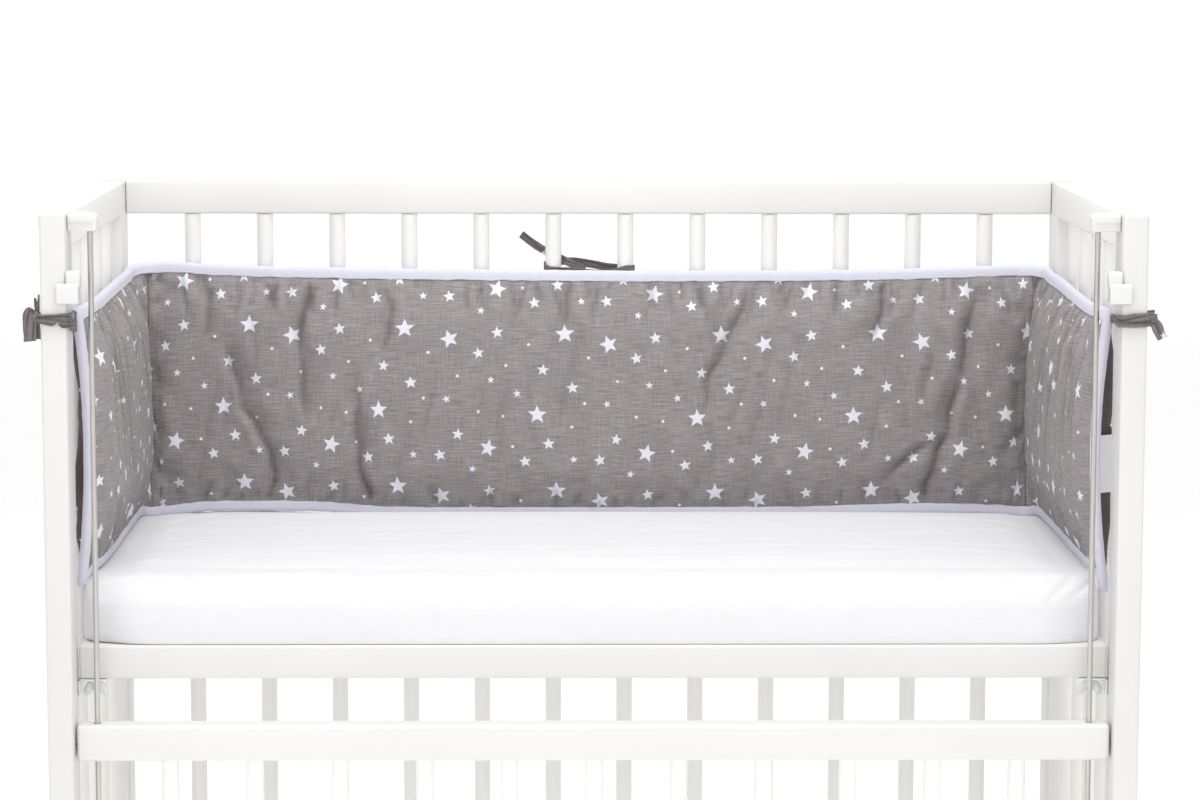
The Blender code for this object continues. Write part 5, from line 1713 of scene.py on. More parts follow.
@dataclass
class BumperPad:
    """The filled pad: two faces of star cotton, sewn together all round under the binding."""

    form: PadForm
    pitch: float = 0.0066
    rows: int = 38
    depth_share: float = 1.30       # the render's folds are this much deeper than the table's
    lip: float = 0.0017             # the cloth's edge, behind the binding's outer edge
    rim_steps: Row = (0.0, 0.0012, 0.0045)      # rows of points in the binding, from the lip
    tuck_in: float = 0.001          # how far the even rows start behind the tape's inner edge
    start_fill: float = 0.84        # share of the swell that the cloth starts from
    cap_inner: float = 0.0048
    cap_outer: float = 0.0012
    outer_cut: tuple[float, float] = (0.040, 0.064)     # where the outer cloth was cut from the print
    corner_reach: float = 0.020     # the mesh is finer this near to a corner crease
    corner_pitch: float = 0.0025
    crease_share: float = 0.92      # how much of the swell a corner crease takes away
    pucker_reach: float = 0.020     # how far the puckers run from the tape
    outer_calm: float = 0.4         # the outer cloth's wrinkles against the inner cloth's
    crease_hold: float = 0.9        # how firmly a corner crease is held in the cloth run
    # line_start and line_shade place painted shade: a dark line down each corner crease and a soft painted
    # shadow beside it.
    line_start: float = 0.76        # how drawn in the cloth is where a corner's dark line starts
    line_shade: float = 0.0045      # how far that line's shade spreads over the back panel
    # the outer face takes deeper painted shade this near to a front end
    end_reach: float = 0.110        # the outer cloth lies in deep shade this near to a front end
    run: ClothRun = ClothRun(pressure=4.0, slack=0.02, bending=0.3)

    @property
    def edge(self) -> float:
        """Half of the cloth's thickness where the binding holds it."""
        return self.form.edge_half - self.form.tape - FIT

    @property
    def shoulder(self) -> float:
        """Distance from the bound edge to where the cloth shows."""
        return self.form.tape_fold + FIT

    def spread(self, low: float, high: float, count: int) -> list[float]:
        """Places from one edge to the other: two in the binding at each end, and even between."""
        first, last = low + self.lip, high - self.lip
        inner_low, inner_high = low + self.shoulder - self.tuck_in, high - self.shoulder + self.tuck_in
        return [*(first + step for step in self.rim_steps),
                *(inner_low + (inner_high - inner_low) * step / count for step in range(count + 1)),
                *(last - step for step in reversed(self.rim_steps))]

    def face_offset(self, along: float, height: float, face: Face, fill: float) -> float:
        """How far one face of the pad stands from the middle line.

        Args:
            along: distance along the pad.
            height: height above the mattress.
            face: which face.
            fill: share of the full swell.

        Returns:
            The distance, without its sign.
        """
        form = self.form
        low, high = form.edges(along)
        span = high - low - 2 * self.shoulder
        share = (height - low - self.shoulder) / span
        from_end = min(along, form.length - along) - self.shoulder
        ends = smooth_step(-0.001, 0.016, from_end) ** 0.6
        swell = form.edge_half - self.edge + form.section(6 if face is Face.INNER else 7, along)
        swell *= crown(share) * ends * fill
        if face is Face.INNER:
            swell *= 1.0 - self.crease_share * form.crease(along, height)
        else:
            for place, middle, lift in form.lobes:
                near = ((along - place) / 0.030) ** 2 + ((height - middle) / 0.022) ** 2
                swell += lift * math.exp(-near) * ends * fill
        return self.edge + swell

    def build(self) -> list[Piece]:
        """Build the pad as one padded piece."""
        piece = filled_piece("bumper_cloth", self.cover(), PRINTED_COTTON, (self.fill, self.crease))
        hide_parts("bumper_pad")
        return [piece]

    def cover(self) -> Solid:
        """The two sewn faces, with their places on the cloth kept for each point."""
        form = self.form
        columns = self.columns()
        halves, last, last_row = [], len(columns) - 1, self.rows + 2 * len(self.rim_steps)
        for face in Face:
            half, points = grid_mesh(last, last_row, "along", "height", "face")
            spots = {}
            for vert, column, row, keep_along, keep_height, keep_face in points:
                along = columns[column]
                along += self.lean(along, self.level(along, row))
                height = self.level(along, row)
                rim = column in (0, last) or row in (0, last_row)
                offset = 0.0 if rim else self.face_offset(along, height, face, self.start_fill)
                vert.co = form.point(along, face.value * offset, height)
                vert[keep_along] = along
                vert[keep_height] = height
                vert[keep_face] = 0.0 if rim else float(face.value)
                u, v = form.cloth_place(vert[keep_along], vert[keep_height])
                if face is Face.OUTER:
                    u, v = self.outer_cut[0] - u, self.outer_cut[1] + v
                spots[vert] = (u, v)
            lay_cloth(half, spots.get)
            halves.append(half)
        return close_mesh(merged(halves))

    def columns(self) -> list[float]:
        """Places along the pad where its mesh has points, closer together at both corners."""
        form = self.form
        columns = [place for place in self.spread(0.0, form.length, round(form.length / self.pitch))
                   if min(abs(place - corner) for corner in form.corners) > self.corner_reach]
        count = round(2 * (self.corner_reach - 0.001) / self.corner_pitch)
        for corner in form.corners:
            columns += [corner + (2 * step / count - 1) * (self.corner_reach - 0.001)
                        for step in range(count + 1)]
        return sorted(columns)

    def lean(self, along: float, height: float) -> float:
        """How far a column of the mesh runs beside its place, to follow a corner crease."""
        away = min(abs(along - corner) for corner in self.form.corners)
        return self.form.sway(along, height) * (1.0 - smooth_step(self.corner_reach / 2, 0.050, away))

    def level(self, along: float, row: int) -> float:
        """Height of one row of the mesh at a place along the pad."""
        low, high = self.form.edges(along)
        return self.spread(low, high, self.rows)[row]

    def held(self, along: float, height: float, face: float) -> float:
        """How firmly a point is held: fully in the binding, and nearly in the corner creases."""
        low, high = self.form.edges(along)
        from_edge = min(height - low, high - height, along, self.form.length - along)
        sewn = 1.0 - smooth_step(self.shoulder - 0.001, self.shoulder + 0.005, from_edge)
        crease = self.crease_hold * self.form.crease(along, height) ** 2 if face > 0 else 0.0
        return max(sewn, crease)

    @staticmethod
    def kept(mesh: bpy.types.Mesh) -> list[list[float]]:
        """Each point's place along the pad, its height, and its face as a sign."""
        return [[item.value for item in mesh.attributes[name].data]
                for name in ("along", "height", "face")]

    def fill(self, piece: Piece) -> None:
        """Swell the pad by its filling and keep each face within its cap."""
        mesh = piece.data
        along, height, face = self.kept(mesh)
        places = self.run.fill(piece, lambda index: self.held(along[index], height[index], face[index]))
        for index, vertex in enumerate(mesh.vertices):
            step = places[index] - vertex.co
            inward = self.form.plan_place(along[index])[1]
            out = step.dot(inward)
            cap = self.cap_inner if face[index] > 0 else self.cap_outer
            kept = min(max(out, -cap), cap)
            slide = step - inward * out
            if slide.length > self.cap_outer:
                slide *= self.cap_outer / slide.length
            vertex.co += inward * kept + slide

    def crease(self, piece: Piece) -> None:
        """Draw in the main folds, add the small wrinkles, and keep the painted shade in two masks."""
        form, mesh = self.form, piece.data
        along, height, face = self.kept(mesh)
        shade = [0.0] * len(mesh.vertices)
        for index, vertex in enumerate(mesh.vertices):
            if face[index] == 0.0:
                continue
            place, up = along[index], height[index]
            free = 1.0 - self.held(place, up, 0.0)
            inward = form.plan_place(place)[1]
            rise = self.wrinkle(place, up, face[index])
            if face[index] > 0.5:
                corner = form.crease(place, up)
                depth, dark = form.fold_depth(place, up)
                rise -= self.depth_share * depth * (1.0 - 0.8 * corner)
                tuck, tuck_shade = form.tuck(place, up)
                vertex.co -= inward * tuck
                # Painted shade: in the folds' troughs and the tucks, a dark line down each corner crease,
                # and a soft painted shadow beside it on the back panel.
                from_line = form.from_corner(place, up) * (1 if place < form.length / 2 else -1)
                line = 1.20 * max(corner - self.line_start, 0.0) / (1.0 - self.line_start)
                soft = 0.42 * math.exp(-from_line / self.line_shade) if from_line > 0.0 else 0.0
                shade[index] = max(dark * min(free * 1.5, 1.0), tuck_shade, line, soft)
            else:
                rise *= self.outer_calm
            vertex.co += inward * (face[index] * rise * free)
        # Painted shade on the outer face: 1 over it, rising to 2 near the front ends.
        outside = [max(-side, 0.0) * (2.0 - smooth_step(0.1 * self.end_reach, self.end_reach,
                                                        min(place, form.length - place)))
                   for side, place in zip(face, along)]
        for name, values in (("crease", shade), ("outer", outside)):
            mesh.attributes.new(name, "FLOAT", "POINT").data.foreach_set("value", values)

    def wrinkle(self, along: float, height: float, face: float) -> float:
        """Height of the cloth's small wrinkles: long ones up the panel, puckers by the binding."""
        low, high = self.form.edges(along)
        from_edge = min(height - low, high - height) - self.shoulder
        seed = 5.3 * face
        # Cells a metre along and up, for swells, long wrinkles, small ones and puckers.
        broad = rough(along * 13.0 + height * 5.0, height * 5.0, seed + 4.0)
        long = rough(along * 38.0 + height * 9.0, height * 8.0, seed)
        small = rough(along * 80.0, height * 24.0, seed + 2.0)
        top = 1.0 if high - height < height - low else -1.0
        pucker = rough(along * 92.0, from_edge * 16.0, seed + 7.0 * top)
        near = math.exp(-max(from_edge, 0.0) / self.pucker_reach)
        leg = 1.0 if min(along, self.form.length - along) < self.form.leg else 0.0
        creased = 0.5 - abs(long)
        return (0.0022 * broad + 0.0020 * creased + 0.0005 * small
                + (0.0013 + 0.0008 * leg) * near * pucker)


# ---- The binding ----

@dataclass
class Binding:
    """The pale tape folded over the pad's edges, with its two rows of stitches."""

    form: PadForm
    pitch: float = 0.0042
    rises: int = 52                 # steps up each end of the pad
    row_pitch: float = 0.0022       # how far apart the tape's rows of points are on its cloth
    fold_steps: int = 5
    bend: float = 0.0038            # how far in from its edge the tape starts to turn over
    seam: float = 0.0014            # stitches behind the tape's edge
    stitch: float = 0.0017
    stitch_gap: float = 0.0011
    thread: float = 0.00022         # half of the thread's thickness

    def stations(self) -> list[tuple[float, float, float, float]]:
        """The closed route round the pad.

        Returns:
            For each station: place along, share of the height, and the inward direction on the
            flat cloth as (along, up).
        """
        form = self.form
        count = round((form.length - 2 * form.tape_fold) / self.pitch)
        first, last = form.tape_fold, form.length - form.tape_fold
        longs = [first + (last - first) * step / count for step in range(count + 1)]
        shares = [step / self.rises for step in range(1, self.rises)]
        return [
            (0.0, 1.0, 1.0, -1.0), *((place, 1.0, 0.0, -1.0) for place in longs),
            (form.length, 1.0, -1.0, -1.0),
            *((form.length, share, -1.0, 0.0) for share in reversed(shares)),
            (form.length, 0.0, -1.0, 1.0), *((place, 0.0, 0.0, 1.0) for place in reversed(longs)),
            (0.0, 0.0, 1.0, 1.0), *((0.0, share, 1.0, 0.0) for share in shares),
        ]

    def place(self, station: tuple[float, float, float, float], inset: float, offset: float,
              run: float) -> Vector:
        """A point of the tape.

        Args:
            station: the route's station.
            inset: distance from the bumper's edge, on the flat cloth.
            offset: distance inward of the middle line.
            run: distance round the route, which the small waves follow.

        Returns:
            The point in the frame.
        """
        form = self.form
        start, share, along_in, up = station
        wave = rough(run * 70.0, 2.1, 0.0)
        ripple = rough(run * 170.0, 8.4, 0.0)
        along = start + along_in * inset
        low, high = form.edges(along)
        if up:
            height = low + (high - low) * share + up * inset
        else:
            height = low + form.tape_fold + (high - low - 2 * form.tape_fold) * share
        skew = inset / form.tape_fold
        offset += math.copysign(0.00045 * ripple * skew + 0.0005 * wave, offset)
        point = form.point(along, offset, height)
        lean = 0.0009 * wave * skew + 0.0004 * ripple
        return point + Vector((0.0, 0.0, lean if up else 0.0))

    def profile(self) -> list[tuple[float, float]]:
        """The tape's section: inset and offset of each point, outside first and then inside."""
        form = self.form
        half, inner = form.edge_half, form.edge_half - form.tape
        bend, fold = self.bend, form.tape_fold
        turns = [math.pi * step / self.fold_steps for step in range(1, self.fold_steps)]
        return [
            (fold, half), (fold * 0.7, half * 1.04), (bend, half),
            *((bend - bend * math.sin(turn), half * math.cos(turn)) for turn in turns),
            (bend, -half), (fold * 0.7, -half * 1.04), (fold, -half), (fold, -inner), (bend, -inner),
            *((bend - (bend - form.tape) * math.sin(turn), -inner * math.cos(turn)) for turn in turns),
            (bend, inner), (fold, inner),
        ]

    def build(self) -> list[Piece]:
        """Build the tape and its stitches."""
        route = self.stations()
        profile = self.profile()
        runs = [0.0]
        for before, after in zip(route, route[1:] + route[:1]):
            gap = self.place(after, 0.0, 0.0, 0.0) - self.place(before, 0.0, 0.0, 0.0)
            runs.append(runs[-1] + gap.length)
        columns, rows = len(route), len(profile)
        solid, points = grid_mesh(columns, rows)
        spots = {}
        for vert, column, row in points:
            spots[vert] = (runs[column], row * self.row_pitch)
            inset, offset = profile[row % rows]
            vert.co = self.place(route[column % columns], inset, offset, runs[column % columns])
        lay_cloth(solid, spots.get)
        close_mesh(solid)
        tape = add_piece("bumper_tape", solid, BINDING_COTTON, ("bumper_binding",), smooth=70.0)
        stitches = self.stitches(route, runs)
        return [tape, stitches]

    def stitches(self, route: Sequence[tuple[float, float, float, float]],
                 runs: Sequence[float]) -> Piece:
        """The rows of small stitches along both edges of the tape."""
        pitch = self.stitch + self.stitch_gap
        grain = bmesh.new()
        bmesh.ops.create_cone(grain, cap_ends=True, segments=5, radius1=self.thread,
                              radius2=self.thread, depth=self.stitch)
        shape = bpy.data.meshes.new("stitch_shape")
        grain.to_mesh(shape)
        grain.free()
        corners = [vertex.co.copy() for vertex in shape.vertices]
        whole = bmesh.new()
        inset = self.form.tape_fold - self.seam
        for sign in (1, -1):
            offset = sign * (self.form.edge_half * 1.02 + 0.00012)
            spots = [self.place(station, inset, offset, run) for station, run in zip(route, runs)]
            spots.append(spots[0])
            left_over = 0.0
            for before, after in zip(spots, spots[1:]):
                step = after - before
                if step.length < WELD:
                    continue
                turn = step.to_track_quat("Z", "Y").to_matrix().to_4x4()
                at = left_over
                while at < step.length:
                    spot = Matrix.Translation(before + step * (at / step.length)) @ turn
                    for vertex, corner in zip(shape.vertices, corners):
                        vertex.co = spot @ corner
                    whole.from_mesh(shape)
                    at += pitch
                left_over = at - step.length
        bpy.data.meshes.remove(shape)
        return add_piece("tape_stitches", whole, Thread())


@dataclass
class Label:
    """The bare woven tab that wraps the outer shoulder of the pad near its right front end."""

    pad: BumperPad
    low: float = 0.0755
    high: float = 0.1275
    thickness: float = 0.0008
    reach: float = 0.0180
    steps: int = 26                 # up the tab
    laid_steps: int = 8             # from its rear edge to the tape

    def build(self) -> list[Piece]:
        """Build the tab."""
        form = self.pad.form
        end = form.length - self.pad.shoulder
        half = self.thickness / 2
        near = half + FIT + 0.0004
        line = []
        for step in range(self.laid_steps + 1):
            along = end - self.reach * (1 - step / self.laid_steps)
            line.append((along, lambda height, at=along: -(
                self.pad.face_offset(at, height, Face.OUTER, 1.0) + near)))
        line.append((end + near, lambda height: -(form.edge_half + 2 * FIT)))
        around = 2 * len(line)
        solid, points = grid_mesh(self.steps, around)
        for vert, column, row in points:
            row %= around
            height = self.low + (self.high - self.low) * column / self.steps
            number = row if row < len(line) else around - 1 - row
            along, offset = line[number]
            side = -1 if row < len(line) else 1
            bow = 0.0003 * math.sin(height * 90.0)
            vert.co = form.point(along, offset(height) + side * half + bow, height)
        lay_cloth(solid, lambda vert: vert.co.yz)
        close_mesh(solid)
        piece = add_piece("bumper_tab", solid, LABEL_RIBBON, ("bumper_label",), smooth=50.0)
        return [piece]


# ---- The ties ----

@dataclass(frozen=True)
class Stop:
    """One row of a ribbon's route: its middle, the direction across it and its width."""

    place: Vector
    across: Vector
    width: float


def ribbon_mesh(stops: Sequence[Stop], thickness: float, closed: bool = False, seed: float = 0.0,
                crumple: float = 0.0004, fine: int = 10,
                pleats: Sequence[float] = (-0.5, 0.0, 0.45),
                cut_from: tuple[float, float] = (0.074, 0.024)) -> tuple[Solid, float]:
    """A strip of folded cloth along a smooth route.

    Args:
        stops: the route.
        thickness: the strip's thickness.
        closed: whether its end meets its start.
        seed: picks the strip's small wrinkles.
        crumple: their height.
        fine: how many steps lie between two stops.
        pleats: where its lengthwise folds lie, as shares of the half width.
        cut_from: where on the printed cloth the strip starts.

    Returns:
        The mesh and the strip's length.
    """
    spans = len(stops) if closed else len(stops) - 1
    rows = [blend_stops(stops, span, step / fine, closed)
            for span in range(spans) for step in range(fine)]
    if not closed:
        rows.append(blend_stops(stops, spans - 1, 1.0, closed))
    lengths = [0.0]
    for before, after in zip(rows, rows[1:] + rows[:1]):
        lengths.append(lengths[-1] + (after.place - before.place).length)
    outline = ribbon_outline(18)
    columns = len(rows) if closed else len(rows) - 1
    solid, points = grid_mesh(columns, len(outline), "crease")
    spots = {}
    for vert, column, row, shade in points:
        stop = rows[column % len(rows)]
        ahead = rows[(column + 1) % len(rows) if closed else min(column + 1, len(rows) - 1)].place
        behind = rows[(column - 1) % len(rows) if closed else max(column - 1, 0)].place
        across = stop.across.normalized()
        face = (ahead - behind).normalized().cross(across).normalized()
        side, level = outline[row % len(outline)]
        run = lengths[column % len(rows)]
        spots[vert] = (cut_from[0] + run, cut_from[1] + side * stop.width / 2)
        turn = math.tau * run / lengths[-1] if closed else run * 60.0
        round_trip = lengths[-1] * 14.0
        spot = (Vector((round_trip * math.cos(turn), round_trip * math.sin(turn), seed)) if closed
                else Vector((run * 90.0, seed, 0.0)))
        pleat, dark = crumple * 0.6 * noise.noise(spot + Vector((0.0, 0.0, side * 1.8))), 0.0
        for number, middle in enumerate(pleats):
            sway = 0.22 * math.sin(turn * (1 + number) + seed * 2.0 + number)
            deep = 0.75 + 0.25 * math.sin(turn * 2 + seed + number * 2.0)
            trough = deep * hump(side - middle - sway, 0.13)
            pleat -= level * crumple * trough
            dark = max(dark, trough)
        # Painted shade in the pleats' troughs, kept in the crease mask.
        vert[shade] = dark * abs(level)
        wide = stop.width / 2 * (1.0 + 0.10 * noise.noise(spot * 1.4 + Vector((0.0, 9.0, 4.0))))
        vert.co = stop.place + across * (side * wide) + face * (level * thickness / 2 + pleat)
    lay_cloth(solid, spots.get)
    return close_mesh(solid), lengths[-1 if closed else -2]


def ribbon_outline(steps: int) -> list[tuple[float, float]]:
    """A flat section with round edges: share of the half width and share of the half thickness."""
    upper = [(-1.0 + 2.0 * step / steps, 1.0) for step in range(1, steps)]
    lower = [(side, -1.0) for side, _ in reversed(upper)]
    return [(-1.0, 0.0), *upper, (1.0, 0.0), *lower]


def blend_stops(stops: Sequence[Stop], span: int, share: float, closed: bool) -> Stop:
    """A stop between two others, on a smooth curve through all of them."""
    count = len(stops)

    def pick(index: int) -> Stop:
        """The stop at INDEX, round the ring or held at the ends."""
        return stops[index % count] if closed else stops[min(max(index, 0), count - 1)]

    before, start, end, after = (pick(span + step) for step in (-1, 0, 1, 2))
    weights = (
        -0.5 * share + share**2 - 0.5 * share**3,
        1.0 - 2.5 * share**2 + 1.5 * share**3,
        0.5 * share + 2.0 * share**2 - 1.5 * share**3,
        -0.5 * share**2 + 0.5 * share**3,
    )
    place, across, width = Vector(), Vector(), 0.0
    for stop, weight in zip((before, start, end, after), weights):
        place += stop.place * weight
        across += stop.across.normalized() * weight
        width += stop.width * weight
    return Stop(place, across, width)


@dataclass
class PostTie:
    """A tie round one front post: its band, its knot on the outer side and its free ends."""

    plan: CribPlan
    side: Side
    widths: tuple[float, float]     # of the band, at the post's inner and outer edge
    behind: tuple[float, float]     # the band's width and drop at the bumper's corner
    free_ends: tuple[tuple[tuple[int, ...], ...], ...]
    cuts: tuple[tuple[float, float], ...]   # where on the cloth the band and the first end are cut
    post_depth: float = 0.048
    drop: float = 0.0935
    bend: float = 0.0040            # rounding of the band round the post's edges
    thickness: float = 0.0022
    crumple: float = 0.0008
    gathered: float = 1.25          # the strip's flat width against its width as it is folded
    blank: tuple[float, float] = (0.074, 0.024)     # where the printed cloth has no star

    @property
    def knot(self) -> Vector:
        """Middle of the knot."""
        return Vector((self.side.value * (self.plan.outer + 0.0040), self.plan.front + 0.0060,
                       self.plan.height - self.drop + 0.0020))

    def band(self) -> list[Stop]:
        """The band's route round the post."""
        sign = self.side.value
        inner, outer = sign * self.plan.inner, sign * self.plan.outer
        front, rear = self.plan.front, self.plan.front + self.post_depth
        gap = self.bend + FIT + self.thickness / 2 + 0.0010
        middle = self.plan.height - self.drop
        stops = []
        around = (
            (inner, front, (-sign, 0), (0, -1)), (outer, front, (0, -1), (sign, 0)),
            (outer, rear, (sign, 0), (0, 1)), (inner, rear, (0, 1), (-sign, 0)),
        )
        for x, y, first, second in around:
            hub = Vector((x, y, middle)) - self.bend * (Vector((*first, 0)) + Vector((*second, 0)))
            for share in (0.0, 0.33, 0.67, 1.0):
                ray = Vector((*first, 0)).lerp(Vector((*second, 0)), share).normalized()
                spot = hub + ray * gap
                outward = share_of((sign * spot.x - self.plan.inner)
                                   / (self.plan.outer - self.plan.inner))
                width = self.widths[0] + (self.widths[1] - self.widths[0]) * outward
                back = (1.0 - outward) ** 4 * smooth_step(front, rear, spot.y)
                width += (self.behind[0] - width) * back
                spot.z += 0.0015 * outward - self.behind[1] * back
                stops.append(Stop(spot, UP, width))
        return stops

    def build(self) -> list[Piece]:
        """Build the tie as one piece."""
        solid, length = ribbon_mesh(
            self.band(), self.thickness, closed=True, seed=self.side.value + 3.0,
            crumple=self.crumple, cut_from=self.cuts[0])
        area = length * sum(self.widths) / 2
        parts = [solid, *self.knot_parts()]
        for number, rows in enumerate(self.free_ends):
            stops = []
            for out, forward, rise, *across, width in rows:
                spot = self.knot + Vector((self.side.value * out, -forward, rise)) / 10000
                across[0] *= self.side.value
                stops.append(Stop(spot, Vector(across) / 100, width / 10000))
            end, run = ribbon_mesh(stops, self.thickness, seed=number + 6.0 + self.side.value,
                                   crumple=self.crumple, pleats=(-0.35, 0.3),
                                   cut_from=self.blank if number else self.cuts[1])
            parts.append(end)
            area += run * sum(stop.width for stop in stops) / len(stops)
            length += run
        name = f"tie_{self.side.label}"
        piece = add_piece(f"{name}_cloth", merged(parts), SHADED_TIE_COTTON, (name,), smooth=60.0)
        return [piece]

    def knot_parts(self) -> list[Solid]:
        """The knot: a core of packed cloth with two turns of the strip over it."""
        core = bmesh.new()
        bmesh.ops.create_uvsphere(core, u_segments=24, v_segments=16, radius=1.0)
        for vert in core.verts:
            ripple = 1.0 + 0.10 * math.sin(vert.co.z * 9.0 + vert.co.x * 3.0)
            vert.co = Vector((vert.co.x * 0.0036, vert.co.y * 0.0046, vert.co.z * 0.0060)) * ripple
        right, up = self.blank
        lay_cloth(core, lambda vert: (vert.co.x + right + 0.015, vert.co.z + up))
        parts = [move_mesh(core, self.knot)]
        for tilt, size in ((0.35, 1.0), (-0.5, 0.92)):
            stops = []
            for step in range(10):
                turn = math.tau * step / 10
                spot = Vector((0.0043 * math.cos(turn), 0.0052 * math.sin(turn), 0.0)) * size
                spot.z += tilt * spot.x * self.side.value
                stops.append(Stop(self.knot + spot, Vector((0, 0.15 * tilt, 1)), 0.0050))
            turn_mesh, _ = ribbon_mesh(stops, 0.0020, closed=True, seed=tilt * 10, crumple=0.0006,
                                       pleats=(-0.3, 0.4))
            parts.append(turn_mesh)
        return parts


@dataclass
class BackTie:
    """The tie round the two middle back spindles, with its free end behind the left one."""

    plan: CribPlan
    drop: float = 0.0865
    half_pitch: float = 0.03585
    rail_thickness: float = 0.018
    gathered: float = 1.3           # the strip's flat width against its width as it is folded
    thickness: float = 0.0011
    width: float = 0.0080
    # Rows of the strands: share of the way between the spindles, level.
    front_strand: tuple[Row, ...] = (
        (0.0, -0.0030), (0.25, -0.0038), (0.5, -0.0052), (0.75, -0.0062), (1.0, -0.0020))
    back_strand: tuple[Row, ...] = (
        (0.0, -0.0018), (0.25, -0.0006), (0.5, 0.0026), (0.75, 0.0050), (1.0, 0.0046))
    # Rows of the free end: x, behind the spindles' middle and level in tenths of a millimetre, the
    # direction across in hundredths, and the width in tenths of a millimetre.
    free_end: tuple[tuple[int, ...], ...] = (
        (-40, -88, -10, 20, 10, 100, 60), (-160, -30, 26, 30, 10, 100, 74), (-285, 76, 80, 35, 10, 100, 78),
        (-375, 100, 120, 40, 10, 100, 78), (-470, 110, 168, 50, 20, 100, 80),
        (-580, 120, 240, 60, 30, 100, 80), (-680, 124, 318, 70, 30, 100, 76),
    )

    @property
    def turn_plan(self) -> Row:
        """The spindles' middle line, the tie's level, and how far the tie runs from that line."""
        return (self.plan.back - self.rail_thickness / 2, self.plan.height - self.drop,
                SPINDLE_RADIUS + 2 * FIT + self.thickness / 2)

    def build(self) -> list[Piece]:
        """Build the tie as one piece."""
        line, middle, gap = self.turn_plan
        stops = []
        for sign, strand, other in ((-1, self.front_strand, self.back_strand),
                                    (1, self.back_strand, self.front_strand)):
            for share, level in strand:
                x = sign * self.half_pitch - sign * 2 * self.half_pitch * share
                stops.append(Stop(Vector((x, line + sign * gap, middle + level)), UP, self.width))
            self.add_turn(stops, -sign * self.half_pitch, sign * 90.0, strand[-1][1], other[0][1])
        band, length = ribbon_mesh(stops, self.thickness, closed=True, seed=2.4, crumple=0.0003, fine=4)
        area = length * self.width
        end_stops = [
            Stop(Vector((x / 10000, line + behind / 10000, middle + level / 10000)),
                 Vector(across) / 100, width / 10000)
            for x, behind, level, *across, width in self.free_end
        ]
        end, run = ribbon_mesh(end_stops, 0.0013, seed=8.8, crumple=0.0004)
        area += run * self.width
        length += run
        piece = add_piece("tie_back_cloth", merged((band, end)), SHADED_TIE_COTTON, ("tie_back",), smooth=60.0)
        return [piece]

    def add_turn(self, stops: list[Stop], x: float, first: float, low: float, high: float) -> None:
        """Add the stops of a half turn round one spindle."""
        line, middle, gap = self.turn_plan
        for step in range(1, 6):
            angle = math.radians(first + 30.0 * step)
            spot = Vector((x + gap * math.cos(angle), line + gap * math.sin(angle),
                           middle + low + (high - low) * step / 6))
            stops.append(Stop(spot, UP, self.width))


# ---- Studio ----

@dataclass
class Studio:
    """Camera, lights, background and floor."""

    camera_place: tuple[float, float, float] = (-0.0405, -3.3618, 1.0876)
    pitch: float = 0.12417
    yaw: float = 0.01433
    roll: float = 0.00189
    lens: float = 108.24
    floor_radius: float = 10.0
    rim_height: float = 5.0

    def build(self) -> None:
        """Set up the studio."""
        self.camera()
        self.lights()
        self.floor()

    def camera(self) -> None:
        """The camera at the photograph's viewing angle."""
        forward = Vector((math.sin(self.yaw) * math.cos(self.pitch),
                          math.cos(self.yaw) * math.cos(self.pitch), -math.sin(self.pitch)))
        right = Vector((math.cos(self.yaw), -math.sin(self.yaw), 0.0))
        right = (right + right.cross(forward) * self.roll).normalized()
        up = right.cross(forward)
        data = bpy.data.cameras.new("camera")
        data.lens = self.lens
        data.sensor_width = 36.0
        data.clip_start = 0.05
        camera = bpy.data.objects.new("camera", data)
        turn = Matrix((right, up, -forward)).transposed().to_4x4()
        camera.matrix_world = Matrix.Translation(Vector(self.camera_place)) @ turn
        bpy.context.scene.collection.objects.link(camera)
        bpy.context.scene.camera = camera

    def lights(self) -> None:
        """Broad soft lamps round the crib, and a white surround."""
        scene = bpy.context.scene
        world = bpy.data.worlds.new("surround")
        world.use_nodes = True
        world.node_tree.nodes["Background"].inputs["Color"].default_value = (1.0, 1.0, 1.0, 1.0)
        world.node_tree.nodes["Background"].inputs["Strength"].default_value = 0.55
        scene.world = world
        scene.view_settings.view_transform = "Standard"
        aim = Vector((0.0, 0.0, 0.6))
        for name, place, size, power in (
            ("key", (0.8, -3.1, 2.5), 1.5, 13.7),
            ("fill", (-1.5, -3.3, 1.5), 1.8, 6.0),
            ("top", (-0.05, -0.6, 3.0), 1.4, 46.0),
        ):
            data = bpy.data.lights.new(name, "AREA")
            data.shape = "SQUARE"
            data.size = size
            data.energy = power
            lamp = bpy.data.objects.new(name, data)
            direction = aim - Vector(place)
            lamp.matrix_world = (Matrix.Translation(Vector(place))
                                 @ direction.to_track_quat("-Z", "Y").to_matrix().to_4x4())
            scene.collection.objects.link(lamp)

    def floor(self) -> None:
        """The plain pale floor, which curves up all round into a low rim."""
        bend, radius = 1.5, self.floor_radius
        profile = [(0.0, 0.0), (radius - bend, 0.0)]
        profile += [
            (radius - bend + bend * math.sin(turn), bend - bend * math.cos(turn))
            for turn in (math.radians(15 * step) for step in range(1, 7))
        ]
        profile.append((radius, self.rim_height))
        sheet = move_mesh(turned_mesh(profile, 64), (0.0, 0.0, -0.0005))
        bmesh.ops.reverse_faces(sheet, faces=sheet.faces[:])
        floor = new_object("floor", sheet)
        floor.data.materials.append(dress(FloorPaper()))
        floor.data.shade_smooth()


# ---- Build ----

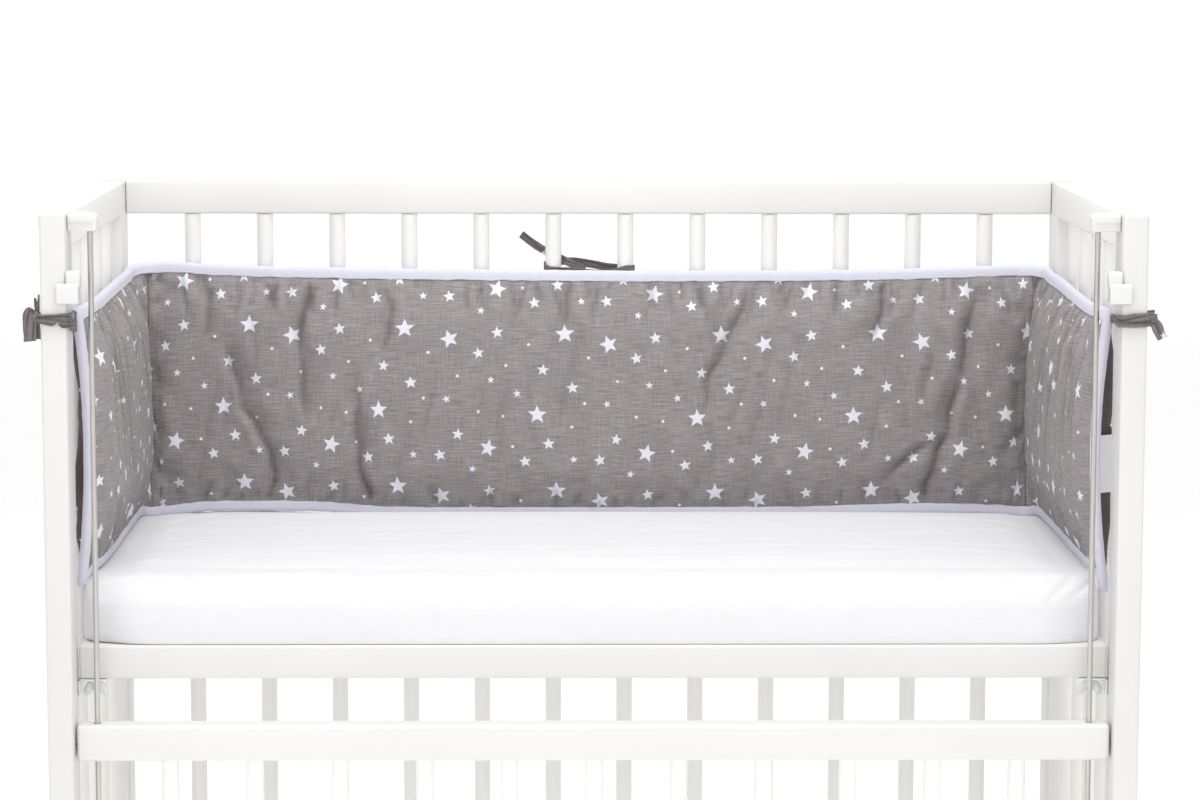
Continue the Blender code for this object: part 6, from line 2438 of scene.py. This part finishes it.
# Rows of a free end, from the knot outwards: out, forward and up in tenths of a millimetre, the
# direction across in hundredths, and the width in tenths of a millimetre.
LEFT_FREE_ENDS = (
    ((6, 4, 36, 10, 10, 100, 50), (45, 30, 60, 40, 10, 90, 80), (50, 44, 22, 90, 0, 40, 128),
     (52, 46, -48, 100, 0, 10, 124), (56, 38, -125, 100, 0, 0, 112), (56, 26, -200, 100, 0, -10, 112)),
    ((-4, 22, -16, 100, 0, 0, 50), (0, 20, -70, 100, 10, 0, 66), (0, 14, -125, 100, 10, 0, 74),
     (0, 8, -182, 100, 0, 10, 76)),
    ((-8, 4, 30, 100, 0, 0, 30), (2, 10, 110, 100, 30, 0, 24), (8, 12, 175, 100, 20, 0, 18)),
    ((-16, 8, 30, 100, 0, 0, 30), (-21, 16, 120, 100, -30, 0, 25), (-26, 18, 205, 100, -20, 0, 16)),
)
RIGHT_FREE_ENDS = (
    ((-4, 26, 0, 60, 10, 80, 80), (26, 42, -40, 75, 10, 65, 96), (52, 44, -85, 82, 0, 60, 102),
     (72, 38, -130, 85, -10, 50, 92), (96, 26, -172, 90, -10, 42, 86)),
    ((-6, 10, 26, 100, 0, 0, 50), (-2, 14, 52, 100, 10, 10, 56), (2, 14, 74, 100, 10, 10, 54)),
)


def report(name: str, pieces: Sequence[Piece]) -> None:
    """Log what a sub-assembly made."""
    faces = sum(len(piece.data.polygons) for piece in pieces)
    LOG.info("%s: %d pieces, %d faces", name, len(pieces), faces)


def main() -> None:
    """Build the studio and every sub-assembly in order."""
    logging.basicConfig(level=logging.INFO, format="%(name)s %(message)s")
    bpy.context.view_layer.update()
    Studio().build()
    plan = CribPlan.read()
    form = PadForm(plan.mattress_top)
    pad = BumperPad(form)
    for name, builder in (
        ("frame", Frame(plan)),
        ("gate", DropGate(plan)),
        ("fittings", Fittings(plan)),
        ("base", MattressBase(plan)),
        ("mattress", Mattress(plan)),
        ("pad", pad),
        ("binding", Binding(form)),
        ("label", Label(pad)),
        ("left tie", PostTie(plan, Side.LEFT, (0.0130, 0.0082), (0.0185, 0.0050), LEFT_FREE_ENDS,
                             ((0.0712, 0.1182), (0.148, 0.029)))),
        ("right tie", PostTie(plan, Side.RIGHT, (0.0108, 0.0134), (0.0072, 0.0020), RIGHT_FREE_ENDS,
                              ((0.028, 0.109), (0.0416, 0.1239)))),
        ("back tie", BackTie(plan)),
    ):
        report(name, builder.build())


if __name__ == "__main__":
    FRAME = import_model()
    main()
